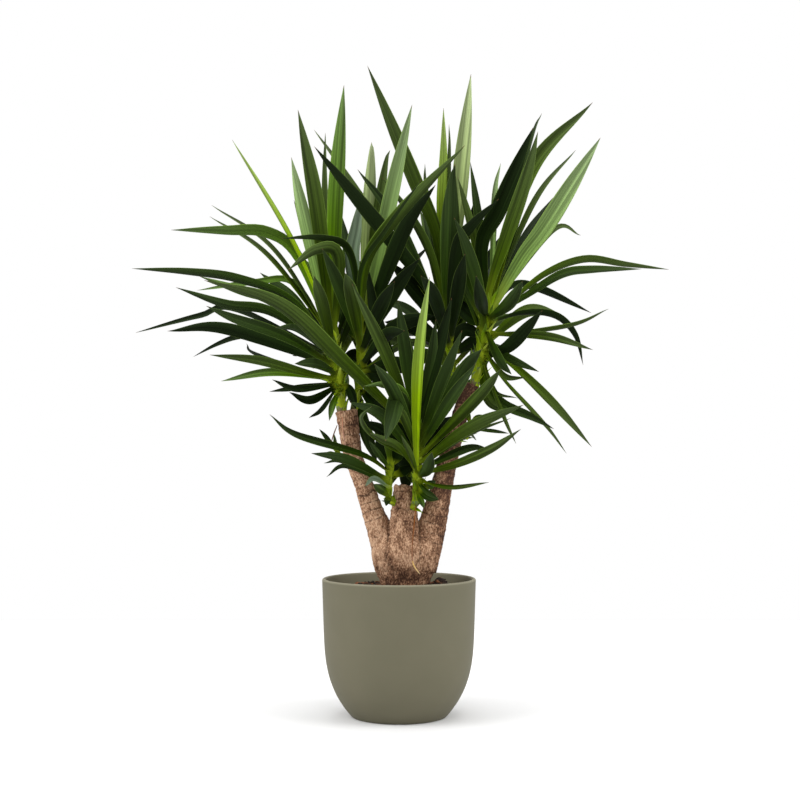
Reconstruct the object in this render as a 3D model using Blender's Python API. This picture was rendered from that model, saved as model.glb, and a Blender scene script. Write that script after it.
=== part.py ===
"""Potted yucca: three canes in one trunk, eight leafy heads, soil and a round-bellied ceramic pot.

Metres, +Z up. The origin is the middle of the pot's foot, on the surface it stands on.
-Y is the front. Each leafy head is one closed solid of stiff sword leaves fused to their stem,
and stands in a plain socket in the trunk. The trunk stands in a plain hole in the soil.
"""
from math import acos, cos, exp, hypot, pi, radians, sin, tau
from random import Random

import bmesh
import bpy
from mathutils import Vector
from mathutils.bvhtree import BVHTree

# Pot, a turned and glazed shape
POT_HEIGHT = 0.250
POT_FOOT_RADIUS = 0.086
POT_BELLY = 0.046          # what the rounded lower body adds to the foot's radius
POT_BELLY_HEIGHT = 0.162   # where the rounded body has run out into the straight wall
POT_BELLY_POWER = 3.1
POT_TAPER = 0.005          # what the wall still widens over the belly's height
POT_WALL = 0.007
POT_FLOOR = 0.012
POT_SIDES = 28
POT_FOOT_CHAMFER = 0.002
# heights that the turned outside and the turned inside pass, closer where they curve more
POT_OUTSIDE_HEIGHTS = [0.004, 0.016, 0.030, 0.048, 0.075, 0.115, 0.170]
BORE_HEIGHTS = [POT_FLOOR, 0.028, 0.055, 0.110]

# Soil
SOIL_AT_WALL = 0.229
SOIL_AT_TRUNK = 0.238
SOIL_BUMP = 0.0015
SOIL_LUMP_AT = (0.076, -0.012)
SOIL_LUMP_HEIGHT = 0.013
SOIL_LUMP_RADIUS = 0.015
SOIL_RINGS = 3

# Trunk: root end in the soil, swollen base, three canes
TRUNK_FOOT = 0.120
TRUNK_CENTRE_X = 0.011
TRUNK_HOLE = (0.0460, 0.0405)
TRUNK_FIT = 0.0005         # the trunk's root end is this much slimmer than the hole, each way
TRUNK_SIDES = 10
FOOT_SIDES = 14
TRUNK_CLEAR = 0.002        # how far above the soil the straight root end reaches
SCAR_SPACING = 0.012
BARK_ROUGHNESS = 0.0007
SCAR_DEPTH = 0.03          # share of the radius that a ring of leaf scars varies by
FOOT_BUMPS = 0.02          # share of the radius that the swollen foot varies by round a ring
# the swollen foot above the soil as (height, radius in x, radius in y)
SWOLLEN_FOOT = [(0.252, 0.049, 0.041), (0.264, 0.054, 0.043), (0.277, 0.058, 0.045),
                (0.290, 0.060, 0.046), (0.303, 0.0605, 0.045), (0.316, 0.056, 0.041),
                (0.330, 0.046, 0.034)]
# canes as (x, y, z, diameter), from inside the swollen foot to the top
LEFT_CANE = [(-0.012, 0.000, 0.272, 0.066), (-0.029, 0.001, 0.322, 0.050), (-0.047, 0.002, 0.369, 0.040),
             (-0.066, 0.005, 0.425, 0.034), (-0.084, 0.008, 0.476, 0.034), (-0.096, 0.011, 0.554, 0.040)]
STUMP = [(0.009, -0.004, 0.290, 0.078), (0.009, -0.007, 0.343, 0.056), (0.009, -0.010, 0.385, 0.043),
         (0.009, -0.011, 0.418, 0.037)]
RIGHT_CANE = [(0.034, 0.000, 0.272, 0.072), (0.056, 0.000, 0.330, 0.054), (0.076, -0.002, 0.411, 0.040),
              (0.097, -0.004, 0.496, 0.032), (0.115, -0.006, 0.559, 0.028), (0.134, -0.008, 0.602, 0.026)]

SEAT_GAP = 0.0003          # between two solids that touch
FLAT_ANGLES = (0.05, 0.02, 0.0)   # degrees within which neighbouring faces may be merged

# The front view that the leaf tables are read in: an eye in front of the pot's axis
EYE = Vector((0.0, -2.53, 0.48))

# Stems
STEM_SIDES = 6
STEM_STEPS = 8
STEM_RINGS = 4             # of the stem's solid, above its foot
STEM_TAPER = 0.25
LEAVES_TRUNK = 2.4         # how many of the stem's steps stand in or close to the trunk

# Leaves
ROOT_SCATTER = 0.0015
BLADE_THICKNESS = 0.0024
BLADE_CHANNEL = 0.13       # how far the edges stand above the midrib, as a share of the width
WIDTH_PER_LENGTH = 0.066
BROADEST = 0.036
NARROWEST = 0.012
CLEARANCE = 0.0012         # kept between leaves of different heads
LEAF_LEAN = 0.35           # how far a leaf's upper face leans towards its stem
GOLDEN_ANGLE = radians(137.5)
# place along the blade from root to tip, and its share of the full width there
BLADE_OUTLINE = [(0.0, 0.34), (0.16, 0.50), (0.34, 0.80), (0.50, 0.98), (0.60, 1.0),
                 (0.74, 0.84), (0.88, 0.46), (1.0, 0.0)]
# places along a blade that its solid has a ring at
SHORT_BLADE = 0.17
SHORT_BLADE_STEPS = [0.0, 0.38, 0.72, 1.0]
BLADE_STEPS = [0.0, 0.30, 0.60, 0.82, 1.0]
BENT_BLADE_STEPS = [0.0, 0.22, 0.44, 0.64, 0.82, 1.0]
TIP_DEPTH_STEP = 0.008     # by which a leaf's tip is moved back or forward to clear another head
TIP_DEPTH_MOST = 0.24

# The spiral of leaves behind a head, from its lowest leaf to its highest
BACK_LOWEST = 0.12         # the lowest one's place up the stem
BACK_SPREAD = (26, 52)     # degrees to either side of straight back
BACK_RISE = (8, 74)        # degrees above level
BACK_SAG = 0.12            # how far a level leaf's tip hangs, as a share of its length
BACK_SHOWN = (0.7, 1.0)    # share of its width that such a leaf shows to the front

# Each head: its stem from the socket in the trunk to its top (x, y, z), the stem's radius,
# how many leaves the rule sets behind it, how long those are, and the seed of its small random
# draws.
HEADS = {
    "left_head": dict(
        stem=[(-0.104, 0.006, 0.545), (-0.108, 0.006, 0.590), (-0.121, 0.000, 0.690)],
        radius=0.009, back_leaves=12, back_length=0.38, seed=21),
    "centre_left_head": dict(
        stem=[(-0.086, 0.017, 0.546), (-0.074, 0.026, 0.600), (-0.068, 0.034, 0.705)],
        radius=0.0065, back_leaves=11, back_length=0.38, seed=101),
    "centre_right_head": dict(
        stem=[(0.117, 0.000, 0.566), (0.105, 0.024, 0.592), (0.088, 0.055, 0.715)],
        radius=0.0065, back_leaves=11, back_length=0.38, seed=102),
    "right_head": dict(
        stem=[(0.134, -0.008, 0.592), (0.146, -0.010, 0.640), (0.165, -0.012, 0.750)],
        radius=0.009, back_leaves=12, back_length=0.38, seed=24),
    "front_head": dict(
        stem=[(0.016, -0.012, 0.378), (0.031, -0.033, 0.398), (0.033, -0.038, 0.525)],
        radius=0.0065, back_leaves=4, back_length=0.28, seed=112),
    "low_left_shoot": dict(
        stem=[(-0.004, -0.014, 0.382), (-0.018, -0.034, 0.400), (-0.016, -0.042, 0.455)],
        radius=0.005, back_leaves=2, back_length=0.16, seed=26),
    "low_right_shoot": dict(
        stem=[(0.102, -0.008, 0.500), (0.122, -0.018, 0.508), (0.130, -0.020, 0.526)],
        radius=0.004, back_leaves=1, back_length=0.09, seed=27),
    "cane_shoot": dict(
        stem=[(-0.082, -0.004, 0.458), (-0.101, -0.014, 0.466), (-0.109, -0.016, 0.478)],
        radius=0.0035, back_leaves=0, back_length=0.08, seed=28),
}

# The leaves that face the front and the sides, set one by one. A row is a leaf: the points that
# it passes from its tip inwards, as seen from the front (x, z), how far its tip lies behind the
# pot's axis (y), its root's place up the stem from 0 to 1, and the width that it shows.
LEAVES = {
    "left_head": [
        ([(-0.416, 0.883), (-0.316, 0.881), (-0.240, 0.877), (-0.184, 0.832)], -0.120, 0.95, 0.022),
        ([(-0.342, 0.929), (-0.229, 0.846)], 0.120, 0.90, 0.008),
        ([(-0.345, 0.908), (-0.240, 0.836)], 0.080, 0.92, 0.009),
        ([(-0.487, 0.813), (-0.380, 0.805), (-0.293, 0.792), (-0.195, 0.754)], -0.110, 0.75, 0.017),
        ([(-0.364, 0.799), (-0.289, 0.774), (-0.202, 0.750), (-0.147, 0.701)], -0.040, 0.58, 0.021),
        ([(-0.368, 0.773), (-0.264, 0.786), (-0.190, 0.783)], 0.120, 0.85, 0.012),
        ([(-0.407, 0.779), (-0.314, 0.747), (-0.229, 0.732)], -0.120, 0.65, 0.019),
        ([(-0.480, 0.696), (-0.362, 0.725), (-0.296, 0.736)], 0.100, 0.62, 0.011),
        ([(-0.351, 0.745), (-0.302, 0.723), (-0.205, 0.688)], -0.200, 0.42, 0.022),
        ([(-0.422, 0.699), (-0.311, 0.703)], -0.050, 0.45, 0.024),
        ([(-0.375, 0.652), (-0.329, 0.675), (-0.289, 0.688), (-0.244, 0.690)], 0.140, 0.65, 0.011),
        ([(-0.278, 0.677), (-0.256, 0.654)], 0.160, 0.12, 0.008),
        ([(-0.345, 0.656), (-0.253, 0.645), (-0.165, 0.622)], -0.140, 0.22, 0.018),
        ([(-0.324, 0.608), (-0.229, 0.624)], 0.120, 0.22, 0.015),
        ([(-0.231, 0.611), (-0.184, 0.594)], -0.120, 0.14, 0.013),
        ([(-0.236, 0.589), (-0.175, 0.597)], 0.060, 0.16, 0.011),
        ([(-0.200, 0.588), (-0.160, 0.574)], -0.160, 0.12, 0.017),
        ([(-0.164, 0.541), (-0.140, 0.556)], -0.100, 0.12, 0.009),
        ([(-0.127, 0.536), (-0.120, 0.567)], -0.060, 0.02, 0.013),
        ([(-0.196, 1.016), (-0.176, 0.923)], 0.080, 1.00, 0.025),
        ([(-0.184, 1.103), (-0.149, 0.923)], -0.040, 1.00, 0.030),
        ([(-0.134, 1.061), (-0.132, 0.946)], 0.140, 1.00, 0.012),
        ([(-0.100, 1.148), (-0.115, 0.923)], 0.080, 1.00, 0.030),
        ([(-0.202, 0.810), (-0.150, 0.848), (-0.110, 0.832)], -0.110, 0.90, 0.024),
        ([(-0.304, 1.048), (-0.187, 0.845)], -0.100, 1.00, 0.009),
        ([(-0.225, 0.706), (-0.180, 0.700)], -0.250, 0.55, 0.016),
        ([(-0.155, 0.800), (-0.140, 0.750)], -0.240, 0.70, 0.026),
        ([(-0.190, 0.640), (-0.150, 0.640)], -0.240, 0.30, 0.020),
        ([(-0.045, 0.636), (-0.082, 0.654)], 0.080, 0.35, 0.026),
        ([(-0.180, 0.745), (-0.151, 0.716)], 0.120, 0.60, 0.024),
        ([(-0.078, 0.557), (-0.091, 0.594)], -0.030, 0.05, 0.018),
    ],
    "centre_left_head": [
        ([(-0.050, 1.043), (-0.051, 0.996)], 0.120, 1.00, 0.025),
        ([(-0.016, 1.029), (-0.027, 0.985)], 0.100, 1.00, 0.021),
        ([(-0.069, 0.945), (-0.078, 0.886), (-0.085, 0.825)], 0.020, 0.95, 0.028),
        ([(0.024, 1.112), (-0.008, 0.975)], -0.020, 1.00, 0.029),
        ([(0.121, 1.038), (-0.007, 0.901), (-0.060, 0.815)], -0.140, 0.75, 0.024),
        ([(0.067, 0.966), (0.007, 0.879)], -0.100, 0.90, 0.031),
        ([(0.041, 0.975), (-0.022, 0.883), (-0.068, 0.805)], -0.150, 0.80, 0.010),
        ([(-0.215, 0.868), (-0.135, 0.867), (-0.089, 0.837)], -0.080, 0.95, 0.015),
        ([(-0.030, 0.905), (-0.048, 0.830)], 0.200, 0.85, 0.027),
        ([(-0.140, 0.850), (-0.108, 0.780)], -0.120, 0.70, 0.026),
        ([(-0.008, 0.790), (-0.035, 0.740)], -0.200, 0.60, 0.028),
        ([(-0.098, 0.805), (-0.085, 0.760)], -0.220, 0.65, 0.028),
        ([(0.010, 0.700), (-0.025, 0.690)], -0.200, 0.40, 0.026),
        ([(0.038, 0.832), (-0.011, 0.770)], -0.020, 0.70, 0.030),
        ([(0.071, 0.727), (0.005, 0.712)], 0.060, 0.60, 0.030),
        ([(0.053, 0.621), (-0.013, 0.639)], 0.000, 0.25, 0.030),
        ([(-0.009, 0.516), (-0.042, 0.563)], -0.050, 0.05, 0.026),
        ([(-0.125, 0.763), (-0.096, 0.719)], 0.080, 0.75, 0.028),
        ([(-0.040, 0.459), (-0.062, 0.523)], -0.010, 0.02, 0.024),
        ([(-0.011, 0.594), (-0.047, 0.616)], 0.020, 0.10, 0.026),
    ],
    "centre_right_head": [
        ([(-0.155, 1.036), (-0.024, 0.877), (0.050, 0.782)], -0.060, 0.90, 0.029),
        ([(-0.155, 1.066), (-0.100, 0.985)], 0.160, 0.95, 0.010),
        ([(-0.076, 0.994), (-0.004, 0.895)], 0.030, 0.85, 0.023),
        ([(-0.058, 1.183), (-0.015, 1.074), (0.025, 0.976), (0.069, 0.866)], 0.080, 1.00, 0.027),
        ([(0.047, 1.004), (0.050, 0.940)], 0.160, 0.95, 0.012),
        ([(-0.031, 0.979), (0.018, 0.912), (0.062, 0.822)], 0.060, 0.80, 0.016),
        ([(0.081, 1.106), (0.083, 1.016), (0.080, 0.901)], 0.120, 1.00, 0.019),
        ([(0.091, 1.076), (0.093, 1.000)], 0.160, 1.00, 0.010),
        ([(0.131, 1.168), (0.116, 1.020)], 0.120, 1.00, 0.031),
        ([(0.102, 1.004), (0.095, 0.946)], 0.000, 0.95, 0.037),
        ([(0.182, 0.940), (0.131, 0.890), (0.105, 0.846)], -0.020, 0.80, 0.025),
        ([(0.040, 0.800), (0.065, 0.760)], -0.220, 0.60, 0.027),
        ([(0.120, 0.840), (0.108, 0.780)], -0.180, 0.70, 0.028),
        ([(-0.016, 0.825), (0.045, 0.756)], 0.100, 0.75, 0.032),
        ([(-0.027, 0.716), (0.035, 0.705)], 0.100, 0.55, 0.032),
        ([(-0.013, 0.632), (0.045, 0.654)], 0.040, 0.30, 0.030),
        ([(0.147, 0.814), (0.115, 0.759)], 0.120, 0.80, 0.030),
        ([(0.187, 0.697), (0.136, 0.679)], 0.100, 0.50, 0.026),
        ([(0.045, 0.516), (0.078, 0.574)], -0.060, 0.05, 0.026),
        ([(0.155, 0.688), (0.116, 0.701)], 0.050, 0.50, 0.026),
    ],
    "right_head": [
        ([(0.244, 1.070), (0.182, 0.923), (0.150, 0.854)], 0.040, 0.85, 0.032),
        ([(0.260, 1.096), (0.240, 1.040)], 0.120, 1.00, 0.010),
        ([(0.253, 1.063), (0.229, 0.970), (0.169, 0.792)], -0.060, 0.90, 0.028),
        ([(0.353, 1.116), (0.240, 0.990)], 0.080, 1.00, 0.027),
        ([(0.322, 1.029), (0.250, 0.937)], 0.160, 0.95, 0.011),
        ([(0.367, 1.052), (0.269, 0.894), (0.222, 0.830)], -0.080, 0.75, 0.034),
        ([(0.331, 0.873), (0.280, 0.881)], 0.160, 0.85, 0.012),
        ([(0.185, 1.005), (0.172, 0.940)], 0.120, 1.00, 0.012),
        ([(0.100, 0.906), (0.122, 0.856), (0.146, 0.770)], -0.100, 0.45, 0.025),
        ([(0.492, 0.811), (0.411, 0.819), (0.338, 0.828), (0.265, 0.801), (0.198, 0.747)], -0.060, 0.70, 0.014),
        ([(0.442, 0.812), (0.351, 0.810), (0.296, 0.801), (0.229, 0.761)], 0.100, 0.72, 0.016),
        ([(0.350, 0.732), (0.254, 0.776), (0.205, 0.781)], 0.140, 0.85, 0.015),
        ([(0.335, 0.637), (0.320, 0.692), (0.284, 0.727), (0.224, 0.732)], 0.060, 0.65, 0.013),
        ([(0.261, 0.737), (0.200, 0.672)], -0.120, 0.12, 0.026),
        ([(0.382, 0.740), (0.309, 0.708)], -0.020, 0.45, 0.009),
        ([(0.353, 0.665), (0.269, 0.690)], -0.100, 0.50, 0.016),
        ([(0.205, 0.620), (0.184, 0.645)], -0.200, 0.55, 0.018),
        ([(0.255, 0.625), (0.205, 0.648)], -0.120, 0.35, 0.015),
        ([(0.351, 0.488), (0.280, 0.567), (0.213, 0.632)], -0.120, 0.32, 0.017),
        ([(0.231, 0.614), (0.190, 0.618)], -0.160, 0.25, 0.012),
        ([(0.305, 0.476), (0.269, 0.523), (0.196, 0.603)], -0.080, 0.20, 0.008),
        ([(0.216, 0.577), (0.173, 0.590)], -0.050, 0.15, 0.007),
        ([(0.282, 0.521), (0.242, 0.543), (0.180, 0.576)], -0.080, 0.12, 0.018),
        ([(0.213, 0.494), (0.191, 0.539)], -0.120, 0.12, 0.008),
        ([(0.205, 0.552), (0.164, 0.574)], -0.020, 0.10, 0.020),
        ([(0.225, 0.790), (0.200, 0.750)], -0.250, 0.70, 0.026),
        ([(0.140, 0.800), (0.150, 0.750)], -0.250, 0.75, 0.026),
        ([(0.096, 0.763), (0.129, 0.727)], 0.100, 0.60, 0.028),
        ([(0.205, 0.654), (0.176, 0.665)], 0.080, 0.25, 0.022),
    ],
    "front_head": [
        ([(0.056, 0.799), (0.040, 0.680), (0.033, 0.560)], -0.170, 0.12, 0.022),
        ([(0.067, 0.721), (0.058, 0.640)], -0.070, 0.90, 0.022),
        ([(0.086, 0.708), (0.066, 0.630)], -0.030, 0.85, 0.020),
        ([(-0.065, 0.599), (-0.025, 0.601), (0.010, 0.580)], -0.200, 0.60, 0.015),
        ([(0.186, 0.631), (0.145, 0.581)], -0.240, 0.50, 0.024),
        ([(0.227, 0.565), (0.127, 0.523)], -0.220, 0.40, 0.024),
        ([(0.204, 0.541), (0.122, 0.507)], -0.140, 0.32, 0.008),
        ([(0.222, 0.521), (0.169, 0.486), (0.100, 0.456)], -0.200, 0.25, 0.018),
        ([(0.164, 0.485), (0.122, 0.485)], -0.120, 0.30, 0.016),
        ([(0.164, 0.424), (0.096, 0.414)], -0.140, 0.14, 0.009),
        ([(0.073, 0.392), (0.052, 0.405)], -0.140, 0.14, 0.010),
        ([(0.060, 0.479), (0.051, 0.448)], -0.200, 0.20, 0.024),
        ([(0.202, 0.719), (0.162, 0.674), (0.084, 0.601)], -0.120, 0.75, 0.018),
        ([(-0.053, 0.514), (-0.029, 0.502), (0.000, 0.487)], -0.240, 0.32, 0.015),
        ([(0.004, 0.510), (0.020, 0.475)], -0.200, 0.25, 0.011),
        ([(-0.049, 0.563), (-0.069, 0.540), (-0.045, 0.505)], -0.220, 0.42, 0.010),
        ([(-0.025, 0.499), (-0.013, 0.541), (0.002, 0.574)], -0.240, 0.65, 0.034),
        ([(-0.020, 0.590), (0.010, 0.540)], -0.160, 0.55, 0.016),
        ([(-0.356, 0.792), (-0.216, 0.746), (-0.098, 0.638)], -0.160, 0.85, 0.030),
        ([(-0.086, 0.786), (-0.020, 0.650)], -0.140, 0.90, 0.024),
        ([(-0.060, 0.825), (-0.035, 0.700)], -0.040, 0.92, 0.025),
        ([(-0.002, 0.756), (0.015, 0.640)], -0.080, 0.95, 0.026),
        ([(0.115, 0.701), (0.075, 0.600)], -0.160, 0.70, 0.024),
        ([(0.096, 0.760), (0.065, 0.640)], -0.020, 0.88, 0.025),
        ([(0.020, 0.690), (0.022, 0.620)], -0.050, 0.80, 0.026),
        ([(0.140, 0.640), (0.090, 0.570)], -0.260, 0.60, 0.024),
        ([(-0.090, 0.570), (-0.030, 0.545)], -0.200, 0.50, 0.023),
        ([(-0.045, 0.640), (-0.010, 0.590)], -0.260, 0.70, 0.026),
        ([(0.151, 0.667), (0.115, 0.623)], -0.060, 0.60, 0.030),
        ([(-0.020, 0.414), (-0.002, 0.460)], 0.040, 0.15, 0.034),
        ([(-0.045, 0.479), (-0.009, 0.501)], 0.020, 0.40, 0.034),
        ([(0.010, 0.404), (0.018, 0.450)], 0.050, 0.05, 0.032),
        ([(-0.038, 0.636), (-0.002, 0.577)], 0.020, 0.60, 0.028),
        ([(0.096, 0.610), (0.064, 0.570)], 0.040, 0.60, 0.028),
        ([(0.027, 0.643), (0.029, 0.585)], 0.060, 0.80, 0.028),
        ([(-0.071, 0.537), (-0.020, 0.512)], -0.020, 0.40, 0.024),
        ([(0.136, 0.530), (0.085, 0.519)], 0.020, 0.40, 0.024),
        ([(0.116, 0.545), (0.072, 0.515)], 0.040, 0.45, 0.034),
        ([(0.022, 0.560), (0.024, 0.515)], 0.060, 0.40, 0.034),
        ([(-0.022, 0.560), (0.005, 0.510)], 0.045, 0.45, 0.034),
        ([(0.045, 0.377), (0.040, 0.390)], -0.090, 0.00, 0.012),
        ([(0.073, 0.392), (0.053, 0.397)], -0.100, 0.02, 0.014),
        ([(0.067, 0.427), (0.049, 0.416)], -0.050, 0.05, 0.018),
    ],
    "low_left_shoot": [
        ([(-0.236, 0.548), (-0.187, 0.510), (-0.067, 0.474)], -0.140, 0.80, 0.015),
        ([(-0.160, 0.477), (-0.094, 0.466)], -0.180, 0.55, 0.018),
        ([(-0.137, 0.459), (-0.100, 0.461)], -0.120, 0.50, 0.010),
        ([(-0.132, 0.434), (-0.096, 0.453)], -0.120, 0.42, 0.010),
        ([(-0.024, 0.520), (-0.020, 0.490)], -0.100, 1.00, 0.014),
        ([(-0.055, 0.500), (-0.038, 0.475)], -0.130, 0.90, 0.012),
        ([(-0.062, 0.417), (-0.045, 0.430)], -0.160, 0.35, 0.011),
        ([(-0.040, 0.508), (-0.027, 0.468)], -0.020, 0.85, 0.024),
        ([(0.005, 0.505), (-0.005, 0.468)], -0.010, 0.95, 0.024),
        ([(0.022, 0.454), (0.005, 0.443)], -0.010, 0.70, 0.020),
        ([(-0.047, 0.421), (-0.027, 0.407)], -0.060, 0.02, 0.018),
        ([(-0.024, 0.381), (-0.020, 0.394)], -0.060, 0.00, 0.014),
    ],
    "low_right_shoot": [
        ([(0.158, 0.546), (0.140, 0.540)], -0.030, 0.90, 0.008),
        ([(0.200, 0.513), (0.155, 0.518)], -0.030, 0.70, 0.007),
        ([(0.122, 0.562), (0.126, 0.540)], -0.040, 1.00, 0.010),
    ],
    "cane_shoot": [
        ([(-0.145, 0.521), (-0.125, 0.495)], -0.020, 1.00, 0.009),
        ([(-0.118, 0.512), (-0.114, 0.492)], -0.040, 1.00, 0.007),
        ([(-0.140, 0.474), (-0.125, 0.476)], -0.040, 0.80, 0.007),
    ],
}

# Colours, linear red, green, blue, and roughness
GLAZE = ((0.181, 0.168, 0.107), 0.60)
EARTH = ((0.030, 0.017, 0.010), 0.95)
BARK = ((0.230, 0.130, 0.070), 0.90)
LEAF = ((0.032, 0.068, 0.012), 0.45)


def clear_scene():
    for old in list(bpy.data.objects):
        bpy.data.objects.remove(old)


def make_material(name, colour_and_roughness):
    colour, roughness = colour_and_roughness
    material = bpy.data.materials.new(name)
    material.use_nodes = True
    shader = material.node_tree.nodes["Principled BSDF"]
    shader.inputs["Base Color"].default_value = (*colour, 1.0)
    shader.inputs["Roughness"].default_value = roughness
    shader.inputs["Metallic"].default_value = 0.0
    return material


def add_object(name, mesh, material=None, collection=None):
    thing = bpy.data.objects.new(name, mesh)
    (collection or bpy.context.scene.collection).objects.link(thing)
    if material:
        mesh.materials.clear()
        mesh.materials.append(material)
    return thing


def lofted_mesh(name, rings, first=None, last=None):
    """A closed mesh through rings of points, its ends closed by a point or a flat cap."""
    verts = []
    faces = []
    count = len(rings[0])
    for ring in rings:
        verts += [Vector(point) for point in ring]
    for level in range(len(rings) - 1):
        low = level * count
        high = low + count
        for side in range(count):
            after = (side + 1) % count
            faces.append((low + side, low + after, high + after))
            faces.append((low + side, high + after, high + side))
    for point, ring, turned in ((first, 0, True), (last, len(rings) - 1, False)):
        start = ring * count
        loop = list(range(start, start + count))
        if point is None:
            faces.append(tuple(reversed(loop)) if turned else tuple(loop))
            continue
        verts.append(Vector(point))
        middle = len(verts) - 1
        for side in range(count):
            pair = (loop[side], loop[(side + 1) % count])
            faces.append((pair[1], pair[0], middle) if turned else (pair[0], pair[1], middle))
    mesh = bpy.data.meshes.new(name)
    mesh.from_pydata(verts, [], faces)
    mesh.validate()
    return face_outwards(mesh)


def face_outwards(mesh):
    solid = bmesh.new()
    solid.from_mesh(mesh)
    bmesh.ops.recalc_face_normals(solid, faces=solid.faces)
    if solid.calc_volume(signed=True) < 0:
        bmesh.ops.reverse_faces(solid, faces=solid.faces)
    solid.to_mesh(mesh)
    solid.free()
    return mesh


def shade_round(mesh, angle):
    mesh.shade_smooth()
    mesh.set_sharp_from_angle(angle=radians(angle))


def ellipse(centre_x, centre_y, radius_x, radius_y, height, count):
    turns = [tau * step / count for step in range(count)]
    return [(centre_x + radius_x * cos(turn), centre_y + radius_y * sin(turn), height)
            for turn in turns]


def pot_radius(height):
    """The pot's outside: a rounded body that runs out into a slightly widening wall."""
    rise = height / POT_BELLY_HEIGHT
    belly = 1.0 - (1.0 - min(rise, 1.0)) ** POT_BELLY_POWER
    return POT_FOOT_RADIUS + POT_BELLY * belly + POT_TAPER * rise


def bore_radius(height):
    """The pot's inside, a wall's thickness in from the outside."""
    return pot_radius(height - POT_WALL / 2) - POT_WALL


def make_pot(material):
    lip = POT_WALL / 2
    profile = [(POT_FOOT_RADIUS - POT_FOOT_CHAMFER, 0.0)]
    profile += [(pot_radius(height), height) for height in POT_OUTSIDE_HEIGHTS + [POT_HEIGHT - lip]]
    middle = pot_radius(POT_HEIGHT) - lip
    for turn in (45, 90, 135):
        profile.append((middle + lip * cos(radians(turn)), POT_HEIGHT - lip + lip * sin(radians(turn))))
    profile.append((bore_radius(POT_HEIGHT - lip), POT_HEIGHT - lip))
    profile += [(bore_radius(height), height) for height in reversed(BORE_HEIGHTS)]
    rings = [ellipse(0, 0, radius, radius, height, POT_SIDES) for radius, height in profile]
    mesh = lofted_mesh("pot", rings)
    shade_round(mesh, 40)
    return add_object("pot", mesh, material)


def make_soil(material):
    draw = Random(3)
    hole_x, hole_y = (size + SEAT_GAP for size in TRUNK_HOLE)
    wall_top = bore_radius(SOIL_AT_WALL) - SEAT_GAP
    hole_floor = TRUNK_FOOT - SEAT_GAP
    rings = [ellipse(TRUNK_CENTRE_X, 0, hole_x, hole_y, hole_floor, POT_SIDES)]
    inner = ellipse(TRUNK_CENTRE_X, 0, hole_x, hole_y, 0, POT_SIDES)
    outer = ellipse(0, 0, wall_top, wall_top, 0, POT_SIDES)
    for step in range(SOIL_RINGS + 1):
        out = step / SOIL_RINGS
        ring = []
        for near, far in zip(inner, outer):
            x = near[0] + (far[0] - near[0]) * out
            y = near[1] + (far[1] - near[1]) * out
            away = hypot(x - SOIL_LUMP_AT[0], y - SOIL_LUMP_AT[1]) / SOIL_LUMP_RADIUS
            height = SOIL_AT_TRUNK + (SOIL_AT_WALL - SOIL_AT_TRUNK) * out
            height += SOIL_LUMP_HEIGHT * exp(-away * away)
            if 0 < step < SOIL_RINGS:
                height += draw.uniform(-SOIL_BUMP, SOIL_BUMP)
            ring.append((x, y, height))
        rings.append(ring)
    for height in reversed(BORE_HEIGHTS):
        radius = bore_radius(height) - SEAT_GAP
        rings.append(ellipse(0, 0, radius, radius, max(height, POT_FLOOR + SEAT_GAP), POT_SIDES))
    mesh = lofted_mesh("soil", rings)
    return add_object("soil", mesh, material)


def smooth_path(points, steps):
    """Points on a curve through the given ones, evenly spread along its length."""
    ends = [points[0] * 2 - points[1]] + points + [points[-1] * 2 - points[-2]]
    fine = []
    per_span = 16
    for span in range(len(points) - 1):
        before, start, stop, after = ends[span:span + 4]
        for part in range(per_span):
            t = part / per_span
            fine.append(0.5 * (2 * start + (stop - before) * t
                               + (2 * before - 5 * start + 4 * stop - after) * t * t
                               + (3 * start - before - 3 * stop + after) * t * t * t))
    fine.append(points[-1])
    lengths = [0.0]
    for one, two in zip(fine, fine[1:]):
        lengths.append(lengths[-1] + (two - one).length)
    spread = []
    place = 0
    for fraction in steps:
        goal = fraction * lengths[-1]
        while place < len(fine) - 2 and lengths[place + 1] < goal:
            place += 1
        share = (goal - lengths[place]) / max(lengths[place + 1] - lengths[place], 1e-9)
        spread.append(fine[place].lerp(fine[place + 1], share))
    return spread


def tube_mesh(name, points, radii, sides, roughness=0.0, scars=0.0, draw=None):
    """A round bar along points, with the unevenness of bark where it is asked for."""
    rings = []
    across = Vector((0, 1, 0))
    for place, (point, radius) in enumerate(zip(points, radii)):
        ahead = points[min(place + 1, len(points) - 1)] - points[max(place - 1, 0)]
        ahead.normalize()
        side = across.cross(ahead).normalized()
        front = ahead.cross(side)
        swell = 1.0 + (draw.uniform(-scars, scars) if scars else 0.0)
        ring = []
        for step in range(sides):
            turn = tau * step / sides
            reach = radius * swell + (draw.uniform(-roughness, roughness) if roughness else 0.0)
            ring.append(point + side * reach * cos(turn) + front * reach * sin(turn))
        rings.append(ring)
    return lofted_mesh(name, rings)


def cane_mesh(name, stops, draw):
    """A cane through stops of (x, y, z, diameter), ringed by its leaf scars."""
    centres = [Vector(stop[:3]) for stop in stops]
    length = sum((two - one).length for one, two in zip(centres, centres[1:]))
    count = round(length / SCAR_SPACING)
    steps = [step / count for step in range(count + 1)]
    points = smooth_path(centres, steps)
    thickness = smooth_path([Vector((stop[3], 0, stop[2])) for stop in stops], steps)
    radii = [size.x / 2 for size in thickness]
    return tube_mesh(name, points, radii, TRUNK_SIDES, BARK_ROUGHNESS, SCAR_DEPTH, draw)


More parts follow.
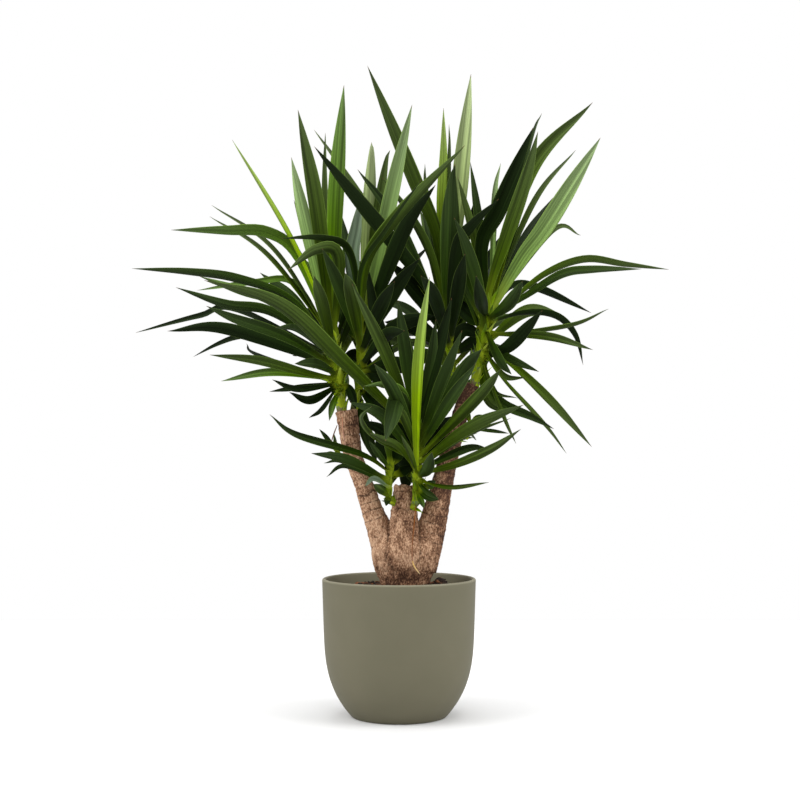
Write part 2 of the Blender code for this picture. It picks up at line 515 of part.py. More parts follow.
def base_mesh(draw):
    """The swollen foot of the trunk, which narrows down into the soil."""
    root_x, root_y = (size - TRUNK_FIT for size in TRUNK_HOLE)
    rings = [ellipse(TRUNK_CENTRE_X, 0, root_x, root_y, height, FOOT_SIDES)
             for height in (TRUNK_FOOT, SOIL_AT_TRUNK + TRUNK_CLEAR)]
    for height, radius_x, radius_y in SWOLLEN_FOOT:
        ring = []
        swell = 1.0 + draw.uniform(-SCAR_DEPTH, SCAR_DEPTH)
        for x, y, z in ellipse(0, 0, radius_x, radius_y, height, FOOT_SIDES):
            bump = swell + draw.uniform(-FOOT_BUMPS, FOOT_BUMPS)
            ring.append((TRUNK_CENTRE_X + x * bump, y * bump, z))
        rings.append(ring)
    return lofted_mesh("base", rings)


def boolean(thing, operation, others, solver="EXACT"):
    """Join or cut with a collection of solids, which are then removed."""
    group = bpy.data.collections.new("pieces")
    bpy.context.scene.collection.children.link(group)
    for place, mesh in enumerate(others):
        add_object(f"piece_{place}", mesh, collection=group)
    modifier = thing.modifiers.new("join", "BOOLEAN")
    modifier.operation = operation
    modifier.operand_type = "COLLECTION"
    modifier.collection = group
    modifier.solver = solver
    graph = bpy.context.evaluated_depsgraph_get()
    mesh = bpy.data.meshes.new_from_object(thing.evaluated_get(graph))
    thing.modifiers.remove(modifier)
    thing.data = mesh
    for piece in list(group.objects):
        bpy.data.objects.remove(piece)
    bpy.data.collections.remove(group)
    return thing


def joined_flats(mesh):
    """The mesh with flat neighbours merged and split again, in the way that leaves it closed."""
    tries = []
    for flat in FLAT_ANGLES:
        for method in ("BEAUTY", "EAR_CLIP"):
            solid = bmesh.new()
            solid.from_mesh(mesh)
            if flat:
                bmesh.ops.dissolve_limit(solid, angle_limit=radians(flat),
                                         verts=solid.verts, edges=solid.edges)
            bmesh.ops.triangulate(solid, faces=solid.faces, quad_method="BEAUTY", ngon_method=method)
            odd = sum(len(edge.link_faces) != 2 for edge in solid.edges)
            tries.append((odd, len(tries), solid))
    tries.sort(key=lambda entry: entry[:2])
    for _, _, solid in tries[1:]:
        solid.free()
    return tries[0][2]


def keep_main_body(mesh):
    """Fill sealed hollows and drop loose scraps: only the largest outer skin stays."""
    solid = joined_flats(mesh)
    unseen = set(solid.faces)
    skins = []
    while unseen:
        skin = {unseen.pop()}
        queue = list(skin)
        while queue:
            for edge in queue.pop().edges:
                for face in edge.link_faces:
                    if face in unseen:
                        unseen.remove(face)
                        skin.add(face)
                        queue.append(face)
        size = sum(face.verts[0].co.dot(face.verts[1].co.cross(face.verts[2].co)) for face in skin)
        skins.append((size, skin))
    skins.sort(key=lambda pair: pair[0])
    for _, skin in skins[:-1]:
        bmesh.ops.delete(solid, geom=list(skin), context="FACES")
    loose = [vert for vert in solid.verts if not vert.link_faces]
    bmesh.ops.delete(solid, geom=loose, context="VERTS")
    solid.to_mesh(mesh)
    solid.free()


def make_trunk(material):
    draw = Random(11)
    trunk = add_object("trunk", base_mesh(draw), material)
    canes = [cane_mesh(name, stops, draw)
             for name, stops in (("left", LEFT_CANE), ("stump", STUMP), ("right", RIGHT_CANE))]
    boolean(trunk, "UNION", canes)
    keep_main_body(trunk.data)
    return trunk


def stem_path(head):
    points = [Vector(point) for point in head["stem"]]
    return smooth_path(points, [step / STEM_STEPS for step in range(STEM_STEPS + 1)])


def stem_mesh(name, head, grown=0.0):
    """The stem of a head, or with grown above 0 the socket that it stands in."""
    points = stem_path(head)[::STEM_STEPS // STEM_RINGS]
    if grown:
        points[0] = points[0] - (points[1] - points[0]).normalized() * grown
    radii = [head["radius"] * (1.0 - STEM_TAPER * place / STEM_RINGS) + grown
             for place in range(len(points))]
    return tube_mesh(name, points, radii, STEM_SIDES)


def seen(x, z, y):
    """The point at depth y that shows at x, z on the upright plane through the pot's axis."""
    on_plane = Vector((x, 0, z))
    return EYE + (on_plane - EYE) * (1.0 + y / -EYE.y)


def width_share(place):
    for (start, before), (stop, after) in zip(BLADE_OUTLINE, BLADE_OUTLINE[1:]):
        if place <= stop:
            return before + (after - before) * (place - start) / (stop - start)
    return 0.0


class Blade:
    """One sword leaf: its path, its width and how far its face is turned from the viewer."""

    def __init__(self, points, shown, stem_way, steps):
        self.points = points
        self.steps = steps
        length = sum((two - one).length for one, two in zip(points, points[1:]))
        if length < SHORT_BLADE:
            self.steps = SHORT_BLADE_STEPS
        natural = min(max(length * WIDTH_PER_LENGTH, NARROWEST), BROADEST)
        self.width = max(natural, shown)
        self.turn = acos(shown / self.width)
        self.stem_way = stem_way
        before, middle, after = smooth_path(points, [0.45, 0.5, 0.55])
        ahead = (after - before).normalized()
        full = self.full_view(middle, ahead)
        self.towards = 1 if full.dot(self.grown_way(ahead)) >= 0 else -1
        self.leaning = 1 if ahead.cross(full).dot(self.grown_way(ahead)) >= 0 else -1

    def solid(self, margin=0.0):
        """Vertices and triangles: a shallow V across, drawn out to a point."""
        path = smooth_path(self.points, self.steps)
        verts = []
        for place, (step, point) in enumerate(zip(self.steps[:-1], path)):
            ahead = (path[place + 1] - path[max(place - 1, 0)]).normalized()
            face = self.face_way(point, ahead)
            side = ahead.cross(face)
            half = self.width / 2 * width_share(step) + margin
            edge = face * BLADE_CHANNEL * 2 * half
            thick = face * (BLADE_THICKNESS / 2 + margin)
            verts += [point - side * half + edge, point + thick, point + side * half + edge, point - thick]
        tip = len(verts)
        verts.append(path[-1] + (path[-1] - path[-2]).normalized() * margin)
        faces = [(0, 2, 1), (0, 3, 2)]
        last = tip - 4
        for low in range(0, last, 4):
            high = low + 4
            for one, two in ((0, 1), (1, 2)):
                faces += [(low + one, low + two, high + two), (low + one, high + two, high + one)]
            for one, two in ((0, 3), (3, 2)):
                faces += [(low + one, high + two, low + two), (low + one, high + one, high + two)]
        faces += [(last, last + 1, tip), (last + 1, last + 2, tip),
                  (last, tip, last + 3), (last + 3, tip, last + 2)]
        return verts, faces

    def grown_way(self, ahead):
        """The upper face's normal as the leaf grows, towards its stem."""
        outward = Vector((ahead.x, ahead.y, 0))
        grown = self.stem_way - outward * LEAF_LEAN
        return (grown - ahead * grown.dot(ahead)).normalized()

    def full_view(self, point, ahead):
        """The normal that would show the blade's whole width to the eye."""
        eye_way = EYE - point
        return (eye_way - ahead * eye_way.dot(ahead)).normalized()

    def face_way(self, point, ahead):
        """The upper face's normal, turned out of full view by the width that shows."""
        full = self.full_view(point, ahead)
        edge_on = ahead.cross(full)
        return full * self.towards * cos(self.turn) + edge_on * self.leaning * sin(self.turn)


def tree_of(verts, faces):
    return BVHTree.FromPolygons(verts, faces)


def is_clear(blade, obstacles):
    verts, faces = blade.solid(CLEARANCE)
    own = tree_of(verts, faces)
    return not any(own.overlap(other) for other in obstacles)


def nudges(step, most):
    """0, then ever larger steps to either side."""
    yield 0.0
    for count in range(1, round(most / step) + 1):
        yield count * step
        yield -count * step


def root_on(path, place):
    """The point on a stem's axis, between where it leaves the trunk and its top."""
    spot = LEAVES_TRUNK + (len(path) - 1 - LEAVES_TRUNK) * place
    low = min(int(spot), len(path) - 2)
    return path[low].lerp(path[low + 1], spot - low)


def scattered(point, draw):
    """A root a little off the stem's axis, so that no two leaves start in one point."""
    return point + Vector([draw.uniform(-ROOT_SCATTER, ROOT_SCATTER) for _ in range(3)])


def set_leaf(path, row, draw, obstacles):
    """A leaf of the tables. Where another head is in its way, it bends back or forward clear."""
    shown_at, depth, place, shown = row
    root = scattered(root_on(path, place), draw)
    stem_way = (path[-1] - path[-3]).normalized()
    for nudge in nudges(TIP_DEPTH_STEP, TIP_DEPTH_MOST):
        tip_depth = depth + nudge
        count = len(shown_at)
        points = [root]
        for order in range(count - 1, -1, -1):
            x, z = shown_at[order]
            along = (count - order) / count
            points.append(seen(x, z, root.y + (tip_depth - root.y) * along ** 0.8))
        steps = BENT_BLADE_STEPS if count > 2 else BLADE_STEPS
        blade = Blade(points, shown * (1.0 + tip_depth / -EYE.y), stem_way, steps)
        if is_clear(blade, obstacles):
            return blade
    return None


def grow_leaf(path, head, order, draw, obstacles):
    """A leaf of the spiral behind a head: low ones short and level, high ones upright."""
    youth = order / head["back_leaves"]
    place = BACK_LOWEST + (1.0 - BACK_LOWEST) * youth
    spread = BACK_SPREAD[0] + (BACK_SPREAD[1] - BACK_SPREAD[0]) * youth
    heading = radians(90 + spread * sin(order * GOLDEN_ANGLE))
    rise = radians(BACK_RISE[0] + (BACK_RISE[1] - BACK_RISE[0]) * youth ** 0.9 + draw.uniform(-5, 5))
    length = head["back_length"] * (0.72 + 0.28 * sin(pi * (0.2 + 0.8 * youth))) * draw.uniform(0.9, 1.05)
    shown = length * WIDTH_PER_LENGTH * draw.uniform(*BACK_SHOWN)
    root = scattered(root_on(path, place), draw)
    stem_way = (path[-1] - path[-3]).normalized()
    for nudge in nudges(radians(3), radians(24)):
        for lift in (0, 6, -6, 12, 18):
            steepness = rise + radians(lift)
            level = Vector((cos(heading + nudge), sin(heading + nudge), 0))
            way = level * cos(steepness) + Vector((0, 0, 1)) * sin(steepness)
            sag = Vector((0, 0, -1)) * length * BACK_SAG * cos(rise)
            points = [root, root + way * length * 0.52 - sag * 0.25, root + way * length + sag]
            blade = Blade(points, shown, stem_way, SHORT_BLADE_STEPS)
            if is_clear(blade, obstacles):
                return blade
    return None


def lay_out_heads(trunk):
    """Place the leaves clear of the trunk and of the other heads; one with no room is left out."""
    bark = tree_of([vert.co.copy() for vert in trunk.data.vertices],
                   [tuple(face.vertices) for face in trunk.data.polygons])
    paths = {name: stem_path(head) for name, head in HEADS.items()}
    taken = {}
    for name, head in HEADS.items():
        stem = stem_mesh(name, head)
        taken[name] = [tree_of([vert.co.copy() for vert in stem.vertices],
                               [tuple(face.vertices) for face in stem.polygons])]
        bpy.data.meshes.remove(stem)
    blades = {name: [] for name in HEADS}

    def obstacles_of(name):
        return [bark] + [tree for other in HEADS if other != name for tree in taken[other]]

    def take(name, blade):
        if blade:
            blades[name].append(blade)
            taken[name].append(tree_of(*blade.solid()))

    for name, head in HEADS.items():
        draw = Random(head["seed"])
        for row in LEAVES[name]:
            take(name, set_leaf(paths[name], row, draw, obstacles_of(name)))
    for name, head in HEADS.items():
        draw = Random(head["seed"])
        for order in range(head["back_leaves"]):
            take(name, grow_leaf(paths[name], head, order, draw, obstacles_of(name)))
    return blades


def make_head(name, blades, material):
    """Fuse a head's leaves to its stem, as one closed solid."""
    head = add_object(name, stem_mesh(name, HEADS[name]), material)
    pieces = []
    for blade in blades:
        verts, faces = blade.solid()
        mesh = bpy.data.meshes.new("blade")
        mesh.from_pydata(verts, [], faces)
        pieces.append(face_outwards(mesh))
    boolean(head, "UNION", pieces, "MANIFOLD")
    keep_main_body(head.data)
    head.data.materials.clear()
    head.data.materials.append(material)
    return head


def main():
    clear_scene()
    make_pot(make_material("glazed_ceramic", GLAZE))
    make_soil(make_material("potting_soil", EARTH))
    trunk = make_trunk(make_material("bark", BARK))
    sockets = [stem_mesh("socket", head, SEAT_GAP) for head in HEADS.values()]
    boolean(trunk, "DIFFERENCE", sockets)
    keep_main_body(trunk.data)
    blades = lay_out_heads(trunk)
    leaf = make_material("leaf", LEAF)
    for name in HEADS:
        make_head(name, blades[name], leaf)


main()
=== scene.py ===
from math import acos, cos, exp, floor, hypot, pi, radians, sin, sqrt, tau
from random import Random

import bmesh
import bpy
import numpy as np
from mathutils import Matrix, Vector, noise
from mathutils.bvhtree import BVHTree


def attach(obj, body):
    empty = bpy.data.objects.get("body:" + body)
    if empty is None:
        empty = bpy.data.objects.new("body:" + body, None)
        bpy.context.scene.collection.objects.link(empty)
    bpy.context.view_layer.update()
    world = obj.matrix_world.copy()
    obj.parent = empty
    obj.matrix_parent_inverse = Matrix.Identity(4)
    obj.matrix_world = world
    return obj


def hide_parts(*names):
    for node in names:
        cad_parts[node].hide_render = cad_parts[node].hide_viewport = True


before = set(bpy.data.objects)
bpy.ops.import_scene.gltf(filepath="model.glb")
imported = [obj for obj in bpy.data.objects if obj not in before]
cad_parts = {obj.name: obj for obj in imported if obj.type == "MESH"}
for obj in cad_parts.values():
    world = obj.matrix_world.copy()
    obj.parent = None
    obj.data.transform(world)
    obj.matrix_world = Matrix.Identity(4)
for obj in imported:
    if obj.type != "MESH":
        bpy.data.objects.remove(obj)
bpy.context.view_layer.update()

# The camera stands in front of the pot's axis, level, a little under half the plant's height.
# The leaf tables below are read from the same place.
EYE = Vector((0.0, -2.53, 0.48))
VIEW_LENS = 62.6
VIEW_SHIFT = (0.00125, 0.0645)
view = bpy.data.cameras.new("view")
view.lens = VIEW_LENS
view.shift_x, view.shift_y = VIEW_SHIFT
view_stand = bpy.data.objects.new("view", view)
view_stand.location = EYE
view_stand.rotation_euler = (radians(90), 0, 0)
bpy.context.scene.collection.objects.link(view_stand)
bpy.context.scene.camera = view_stand


# The pot: a turned stoneware cover pot with a rounded body, a straight wall that widens slightly
# and a plain rounded lip, under a matt sage glaze. It stands on a flat foot with a shallow recess.
POT_HEIGHT = 0.250
POT_FOOT_RADIUS = 0.086
POT_BELLY = 0.046
POT_BELLY_HEIGHT = 0.162
POT_BELLY_POWER = 3.1
POT_TAPER = 0.005
POT_WALL = 0.007
POT_FLOOR = 0.012
POT_SIDES = 160
POT_LIP_STEPS = 10
FOOT_CHAMFER = 0.002
FOOT_RIM = 0.010
FOOT_RECESS = 0.0015
GLAZE_COLOUR = "#64604D"
GLAZE_SHADE = "#5D5A47"
# painted light: the bore is painted lighter than the outside glaze, as if lit inside the pot
GLAZE_INSIDE_LIT = "#7D7962"
INSIDE_FROM = 0.134          # metres from the axis to the edge between the lip and the lighter bore
# The lip is painted paler: partly glaze thinning over the edge, partly a painted highlight where light from above
# catches it.
GLAZE_LIP_HIGHLIGHT = "#7F7B67"
LIP_HIGHLIGHT_BAND = (0.2462, 0.2490)   # heights of the band over the lip that is painted paler: glaze thinning over the edge, with a painted highlight
GLAZE_CLOUDS = 0.060        # metres between the glaze's soft clouds
GLAZE_GRAIN = 0.0012        # metres between the grains of its matt skin
GLAZE_GRAIN_DEPTH = 0.00004


def from_hex(code):
    """An sRGB hex colour as linear red, green, blue and full cover."""
    parts = [int(code[start:start + 2], 16) / 255 for start in (1, 3, 5)]
    linear = [part / 12.92 if part <= 0.04045 else ((part + 0.055) / 1.055) ** 2.4 for part in parts]
    return (*linear, 1.0)


def add_node(tree, kind, inputs=None, **settings):
    """Add a node with its settings; an input is given a value, or linked if it is given a socket."""
    node = tree.nodes.new(kind)
    for name, value in settings.items():
        setattr(node, name, value)
    for name, value in (inputs or {}).items():
        if isinstance(value, bpy.types.NodeSocket):
            tree.links.new(value, node.inputs[name])
        else:
            node.inputs[name].default_value = value
    return node


def new_finish(name):
    """A material and its node tree, shader and output, ready for the nodes that feed the shader."""
    material = bpy.data.materials.new(name)
    material.use_nodes = True
    tree = material.node_tree
    return material, tree, tree.nodes["Principled BSDF"]


def new_piece(name, mesh, material):
    piece = bpy.data.objects.new(name, mesh)
    bpy.context.scene.collection.objects.link(piece)
    mesh.materials.clear()
    mesh.materials.append(material)
    return piece


def pot_radius(height):
    """The pot's outside: a rounded body that runs out into a slightly widening wall."""
    rise = height / POT_BELLY_HEIGHT
    belly = 1.0 - (1.0 - min(rise, 1.0)) ** POT_BELLY_POWER
    return POT_FOOT_RADIUS + POT_BELLY * belly + POT_TAPER * rise


def bore_radius(height):
    return pot_radius(height - POT_WALL / 2) - POT_WALL


def turned_mesh(name, profile, sides):
    """A closed turned body from a profile that starts and ends on the axis."""
    solid = bmesh.new()
    spots = [solid.verts.new((radius, 0, height)) for radius, height in profile]
    edges = [solid.edges.new(pair) for pair in zip(spots, spots[1:])]
    bmesh.ops.spin(solid, geom=spots + edges, axis=(0, 0, 1), cent=(0, 0, 0), steps=sides, angle=tau,
                   use_merge=True)
    bmesh.ops.remove_doubles(solid, verts=solid.verts, dist=0.000001)
    bmesh.ops.recalc_face_normals(solid, faces=solid.faces)
    mesh = bpy.data.meshes.new(name)
    solid.to_mesh(mesh)
    solid.free()
    mesh.shade_smooth()
    return mesh


def pot_profile():
    lip = POT_WALL / 2
    wall_top = POT_HEIGHT - lip
    rim_inside = POT_FOOT_RADIUS - FOOT_RIM
    profile = [(0.0, FOOT_RECESS), (rim_inside - FOOT_RECESS, FOOT_RECESS), (rim_inside, 0.0)]
    profile += [(POT_FOOT_RADIUS - FOOT_CHAMFER, 0.0), (POT_FOOT_RADIUS - 0.0006, 0.0005)]
    belly_steps = 40
    for step in range(1, belly_steps + 1):
        height = wall_top * (step / belly_steps) ** 1.4
        profile.append((pot_radius(height), height))
    for step in range(1, POT_LIP_STEPS + 1):
        turn = pi * step / POT_LIP_STEPS
        profile.append((pot_radius(wall_top) - lip + lip * cos(turn), wall_top + lip * sin(turn)))
    bore_steps = 24
    for step in range(1, bore_steps + 1):
        height = wall_top + (POT_FLOOR - wall_top) * step / bore_steps
        profile.append((bore_radius(height), height))
    profile.append((0.0, POT_FLOOR))
    return profile


# Matt stoneware glaze: even and dry to the eye, a little lighter where it is seen edge on. Its lip is painted paler,
# partly glaze thinning over the edge and partly a painted highlight, and its bore is painted lighter as painted light
# inside the pot.
glaze, tree, shader = new_finish("matt_sage_glaze")
place = add_node(tree, "ShaderNodeTexCoord").outputs["Object"]
clouds = add_node(tree, "ShaderNodeTexNoise", {"Vector": place, "Scale": 1 / GLAZE_CLOUDS, "Detail": 3.0})
tint = add_node(tree, "ShaderNodeMix", {"Factor": clouds.outputs["Fac"], 6: from_hex(GLAZE_SHADE),
                                        7: from_hex(GLAZE_COLOUR)}, data_type="RGBA")
height = add_node(tree, "ShaderNodeSeparateXYZ", {0: place}).outputs[2]
# painted highlight: a paler band round the lip, partly glaze thinning over the edge
lip_highlight = add_node(tree, "ShaderNodeMapRange", {"Value": height, 1: LIP_HIGHLIGHT_BAND[0], 2: LIP_HIGHLIGHT_BAND[1]})
with_lip_highlight = add_node(tree, "ShaderNodeMix", {"Factor": lip_highlight.outputs[0], 6: tint.outputs[2],
                                          7: from_hex(GLAZE_LIP_HIGHLIGHT)}, data_type="RGBA")
level = add_node(tree, "ShaderNodeVectorMath", {0: place, 1: (1, 1, 0)}, operation="MULTIPLY")
from_axis = add_node(tree, "ShaderNodeVectorMath", {0: level.outputs[0]}, operation="LENGTH")
# painted light: the bore's wall above the soil is painted lighter than the outside glaze
inward = add_node(tree, "ShaderNodeMapRange", {"Value": from_axis.outputs["Value"],
                                               1: INSIDE_FROM + 0.0005, 2: INSIDE_FROM - 0.0005})
high = add_node(tree, "ShaderNodeMapRange", {"Value": height, 1: 0.190, 2: 0.200})
inside = add_node(tree, "ShaderNodeMath", {0: inward.outputs[0], 1: high.outputs[0]},
                  operation="MULTIPLY")
with_inside_light = add_node(tree, "ShaderNodeMix", {"Factor": inside.outputs[0], 6: with_lip_highlight.outputs[2],
                                         7: from_hex(GLAZE_INSIDE_LIT)}, data_type="RGBA")
grain = add_node(tree, "ShaderNodeTexNoise", {"Vector": place, "Scale": 1 / GLAZE_GRAIN, "Detail": 2.0})
relief = add_node(tree, "ShaderNodeBump", {"Height": grain.outputs["Fac"], "Strength": 0.35,
                                           "Distance": GLAZE_GRAIN_DEPTH})
dryness = add_node(tree, "ShaderNodeMapRange", {"Value": grain.outputs["Fac"], 3: 0.58, 4: 0.70})
tree.links.new(with_inside_light.outputs[2], shader.inputs["Base Color"])
tree.links.new(dryness.outputs[0], shader.inputs["Roughness"])
tree.links.new(relief.outputs[0], shader.inputs["Normal"])
shader.inputs["IOR"].default_value = 1.50
shader.inputs["Specular IOR Level"].default_value = 0.30

pot = new_piece("glazed_pot", turned_mesh("glazed_pot", pot_profile(), POT_SIDES), glaze)
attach(pot, "root")
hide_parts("pot")


# The soil: dark potting mix, heaped a little towards the trunk, with a crumbly lump to its right.
# Crumbs and bark chips lie loose on it.
SOIL_AT_WALL = 0.229
SOIL_AT_TRUNK = 0.238
SOIL_LUMP_AT = (0.076, -0.012)
SOIL_LUMP_HEIGHT = 0.017
SOIL_LUMP_RADIUS = 0.015
SOIL_SEAT = 0.0003
SOIL_SIDES = 150
SOIL_RINGS = 50
SOIL_COARSE = 0.0022        # metres that the clods stand up
SOIL_CLOD = 0.011           # metres between clods
SOIL_FINE = 0.0008
TRUNK_CENTRE_X = 0.011
TRUNK_HOLE = (0.0460, 0.0405)
CRUMB_COUNT_PER_M2 = 30000
CRUMB_SIZE = (0.0007, 0.0023)
CHIP_COUNT_PER_M2 = 5200
CHIP_SIZE = (0.0016, 0.0048)
EARTH_COLOURS = ["#150D08", "#281A12", "#45301F", "#7A4C32"]
LOOSE_REACH = 0.120         # metres from the axis within which crumbs and chips lie


def soil_height(x, y):
    out = min(hypot(x, y) / bore_radius(SOIL_AT_WALL), 1.0)
    heap = SOIL_AT_TRUNK + (SOIL_AT_WALL - SOIL_AT_TRUNK) * max(out - 0.35, 0.0) / 0.65
    away = hypot(x - SOIL_LUMP_AT[0], y - SOIL_LUMP_AT[1]) / SOIL_LUMP_RADIUS
    lump = SOIL_LUMP_HEIGHT * exp(-away * away)
    clods = noise.fractal(Vector((x, y, 0.3)) / SOIL_CLOD, 0.8, 2.2, 4)
    fine = noise.noise(Vector((x, y, 7.1)) / 0.0021)
    edge = min((1.0 - out) * 12, 1.0)
    return heap + lump + (SOIL_COARSE * clods + SOIL_FINE * fine) * edge


def soil_mesh():
    rings = []
    for ring in range(1, SOIL_RINGS + 1):
        radius = (bore_radius(SOIL_AT_WALL) - SOIL_SEAT) * ring / SOIL_RINGS
        turns = [tau * side / SOIL_SIDES for side in range(SOIL_SIDES)]
        rings.append([Vector((radius * cos(turn), radius * sin(turn),
                              soil_height(radius * cos(turn), radius * sin(turn)))) for turn in turns])
    for height in (0.200, 0.140, 0.085, 0.050, 0.028, POT_FLOOR + SOIL_SEAT):
        radius = bore_radius(height) - SOIL_SEAT
        rings.append([Vector((radius * cos(turn), radius * sin(turn), height)) for turn in turns])
    verts = [Vector((0, 0, soil_height(0, 0)))] + [spot for ring in rings for spot in ring]
    verts.append(Vector((0, 0, POT_FLOOR + SOIL_SEAT)))
    faces = []
    for side in range(SOIL_SIDES):
        after = (side + 1) % SOIL_SIDES
        faces.append((0, 1 + side, 1 + after))
        for ring in range(len(rings) - 1):
            low = 1 + ring * SOIL_SIDES
            faces.append((low + side, low + SOIL_SIDES + side, low + SOIL_SIDES + after, low + after))
        low = 1 + (len(rings) - 1) * SOIL_SIDES
        faces.append((low + side, len(verts) - 1, low + after))
    mesh = bpy.data.meshes.new("potting_soil")
    mesh.from_pydata(verts, [], faces)
    mesh.shade_smooth()
    return mesh


# Moist potting mix: nearly black peat, brown bark and a few reddish fibres, quite matt.
earth, tree, shader = new_finish("potting_mix")
place = add_node(tree, "ShaderNodeTexCoord").outputs["Object"]
flecks = add_node(tree, "ShaderNodeTexNoise", {"Vector": place, "Scale": 1 / 0.004, "Detail": 6.0,
                                               "Roughness": 0.65})
shade = add_node(tree, "ShaderNodeAttribute", attribute_name="crumb_shade")
mixed = add_node(tree, "ShaderNodeMath", {0: flecks.outputs["Fac"], 1: shade.outputs["Fac"]},
                 operation="ADD")
earthy = add_node(tree, "ShaderNodeValToRGB", {"Fac": mixed.outputs[0]})
ramp = earthy.color_ramp
for step, code in enumerate(EARTH_COLOURS[1:-1]):
    ramp.elements.new(0.5 + 0.2 * step)
for element, at, code in zip(ramp.elements, (0.30, 0.55, 0.85, 1.20), EARTH_COLOURS):
    element.position = min(at, 1.0)
    element.color = from_hex(code)
relief = add_node(tree, "ShaderNodeBump", {"Height": flecks.outputs["Fac"], "Strength": 0.8,
                                           "Distance": 0.0008})
tree.links.new(earthy.outputs[0], shader.inputs["Base Color"])
tree.links.new(relief.outputs[0], shader.inputs["Normal"])
shader.inputs["Roughness"].default_value = 0.92
shader.inputs["Specular IOR Level"].default_value = 0.25


def new_geometry_tree(name, sizes):
    """A Geometry Nodes tree with a mesh in, a mesh out and named inputs: (name, kind, value)."""
    tree = bpy.data.node_groups.new(name, "GeometryNodeTree")
    tree.is_modifier = True
    tree.interface.new_socket("Geometry", in_out="INPUT", socket_type="NodeSocketGeometry")
    tree.interface.new_socket("Geometry", in_out="OUTPUT", socket_type="NodeSocketGeometry")
    for label, kind, value in sizes:
        socket = tree.interface.new_socket(label, in_out="INPUT", socket_type=kind)
        if value is not None:
            socket.default_value = value
    return tree, tree.nodes.new("NodeGroupInput").outputs, tree.nodes.new("NodeGroupOutput")


def grown_mesh(piece, tree, values):
    """The plain mesh that a tree makes from a piece, its inputs set by their identifiers."""
    modifier = piece.modifiers.new(tree.name, "NODES")
    modifier.node_group = tree
    for item in tree.interface.items_tree:
        if item.in_out == "INPUT" and item.name in values:
            modifier[item.identifier] = values[item.name]
    graph = bpy.context.evaluated_depsgraph_get()
    mesh = bpy.data.meshes.new_from_object(piece.evaluated_get(graph))
    piece.modifiers.remove(modifier)
    return mesh


# Scatter: stretched, turned and roughened crumbs over the upward faces of a mesh.
scatter, given, result = new_geometry_tree("soil_scatter", [
    ("Count per m2", "NodeSocketFloat", 1000.0), ("Smallest", "NodeSocketFloat", 0.001),
    ("Largest", "NodeSocketFloat", 0.002), ("Long", "NodeSocketFloat", 1.0),
    ("Facets", "NodeSocketInt", 1), ("Seed", "NodeSocketInt", 1), ("Reach", "NodeSocketFloat", 0.1),
    ("Material", "NodeSocketMaterial", None)])
normal = add_node(scatter, "GeometryNodeInputNormal")
upward = add_node(scatter, "ShaderNodeSeparateXYZ", {0: normal.outputs[0]})
on_top = add_node(scatter, "FunctionNodeCompare", {0: upward.outputs[2], 1: 0.3},
                  data_type="FLOAT", operation="GREATER_THAN")
here = add_node(scatter, "GeometryNodeInputPosition")
level = add_node(scatter, "ShaderNodeVectorMath", {0: here.outputs[0], 1: (1.0, 1.0, 0.0)},
                 operation="MULTIPLY")
out = add_node(scatter, "ShaderNodeVectorMath", {0: level.outputs[0]}, operation="LENGTH")
inside = add_node(scatter, "FunctionNodeCompare", {0: out.outputs["Value"], 1: given["Reach"]},
                  data_type="FLOAT", operation="LESS_THAN")
chosen = add_node(scatter, "FunctionNodeBooleanMath", {0: on_top.outputs[0], 1: inside.outputs[0]},
                  operation="AND")
spots = add_node(scatter, "GeometryNodeDistributePointsOnFaces", {
    "Mesh": given["Geometry"], "Selection": chosen.outputs[0], "Density": given["Count per m2"],
    "Seed": given["Seed"]})
crumb = add_node(scatter, "GeometryNodeMeshIcoSphere", {"Radius": 1.0, "Subdivisions": given["Facets"]})
size = add_node(scatter, "FunctionNodeRandomValue", {2: given["Smallest"], 3: given["Largest"],
                                                     "Seed": given["Seed"]}, data_type="FLOAT")
flat = add_node(scatter, "FunctionNodeRandomValue", {2: 0.35, 3: 0.8, "Seed": 5}, data_type="FLOAT")
stretch = add_node(scatter, "ShaderNodeCombineXYZ", {0: given["Long"], 1: 1.0, 2: flat.outputs[1]})
scale = add_node(scatter, "ShaderNodeVectorMath", {0: stretch.outputs[0], "Scale": size.outputs[1]},
                 operation="SCALE")
turn = add_node(scatter, "FunctionNodeRandomValue", {0: (-0.6, -0.6, 0.0), 1: (0.6, 0.6, tau), "Seed": 8},
                data_type="FLOAT_VECTOR")
copies = add_node(scatter, "GeometryNodeInstanceOnPoints", {
    "Points": spots.outputs["Points"], "Instance": crumb.outputs["Mesh"], "Rotation": turn.outputs[0],
    "Scale": scale.outputs[0]})
shade = add_node(scatter, "FunctionNodeRandomValue", {2: -0.25, 3: 0.6, "Seed": 2}, data_type="FLOAT")
shaded = add_node(scatter, "GeometryNodeStoreNamedAttribute", {
    "Geometry": copies.outputs[0], "Name": "crumb_shade", "Value": shade.outputs[1]},
    data_type="FLOAT", domain="INSTANCE")
loose = add_node(scatter, "GeometryNodeRealizeInstances", {"Geometry": shaded.outputs[0]})
lumps = add_node(scatter, "ShaderNodeTexNoise", {"Vector": here.outputs[0], "Scale": 700.0})
centred = add_node(scatter, "ShaderNodeVectorMath", {0: lumps.outputs["Color"], 1: (0.5, 0.5, 0.5)},
                   operation="SUBTRACT")
shift = add_node(scatter, "ShaderNodeVectorMath", {0: centred.outputs[0], "Scale": 0.0022},
                 operation="SCALE")
rough = add_node(scatter, "GeometryNodeSetPosition", {"Geometry": loose.outputs[0],
                                                      "Offset": shift.outputs[0]})
named = add_node(scatter, "GeometryNodeSetMaterial", {"Geometry": rough.outputs[0],
                                                      "Material": given["Material"]})
scatter.links.new(named.outputs[0], result.inputs[0])

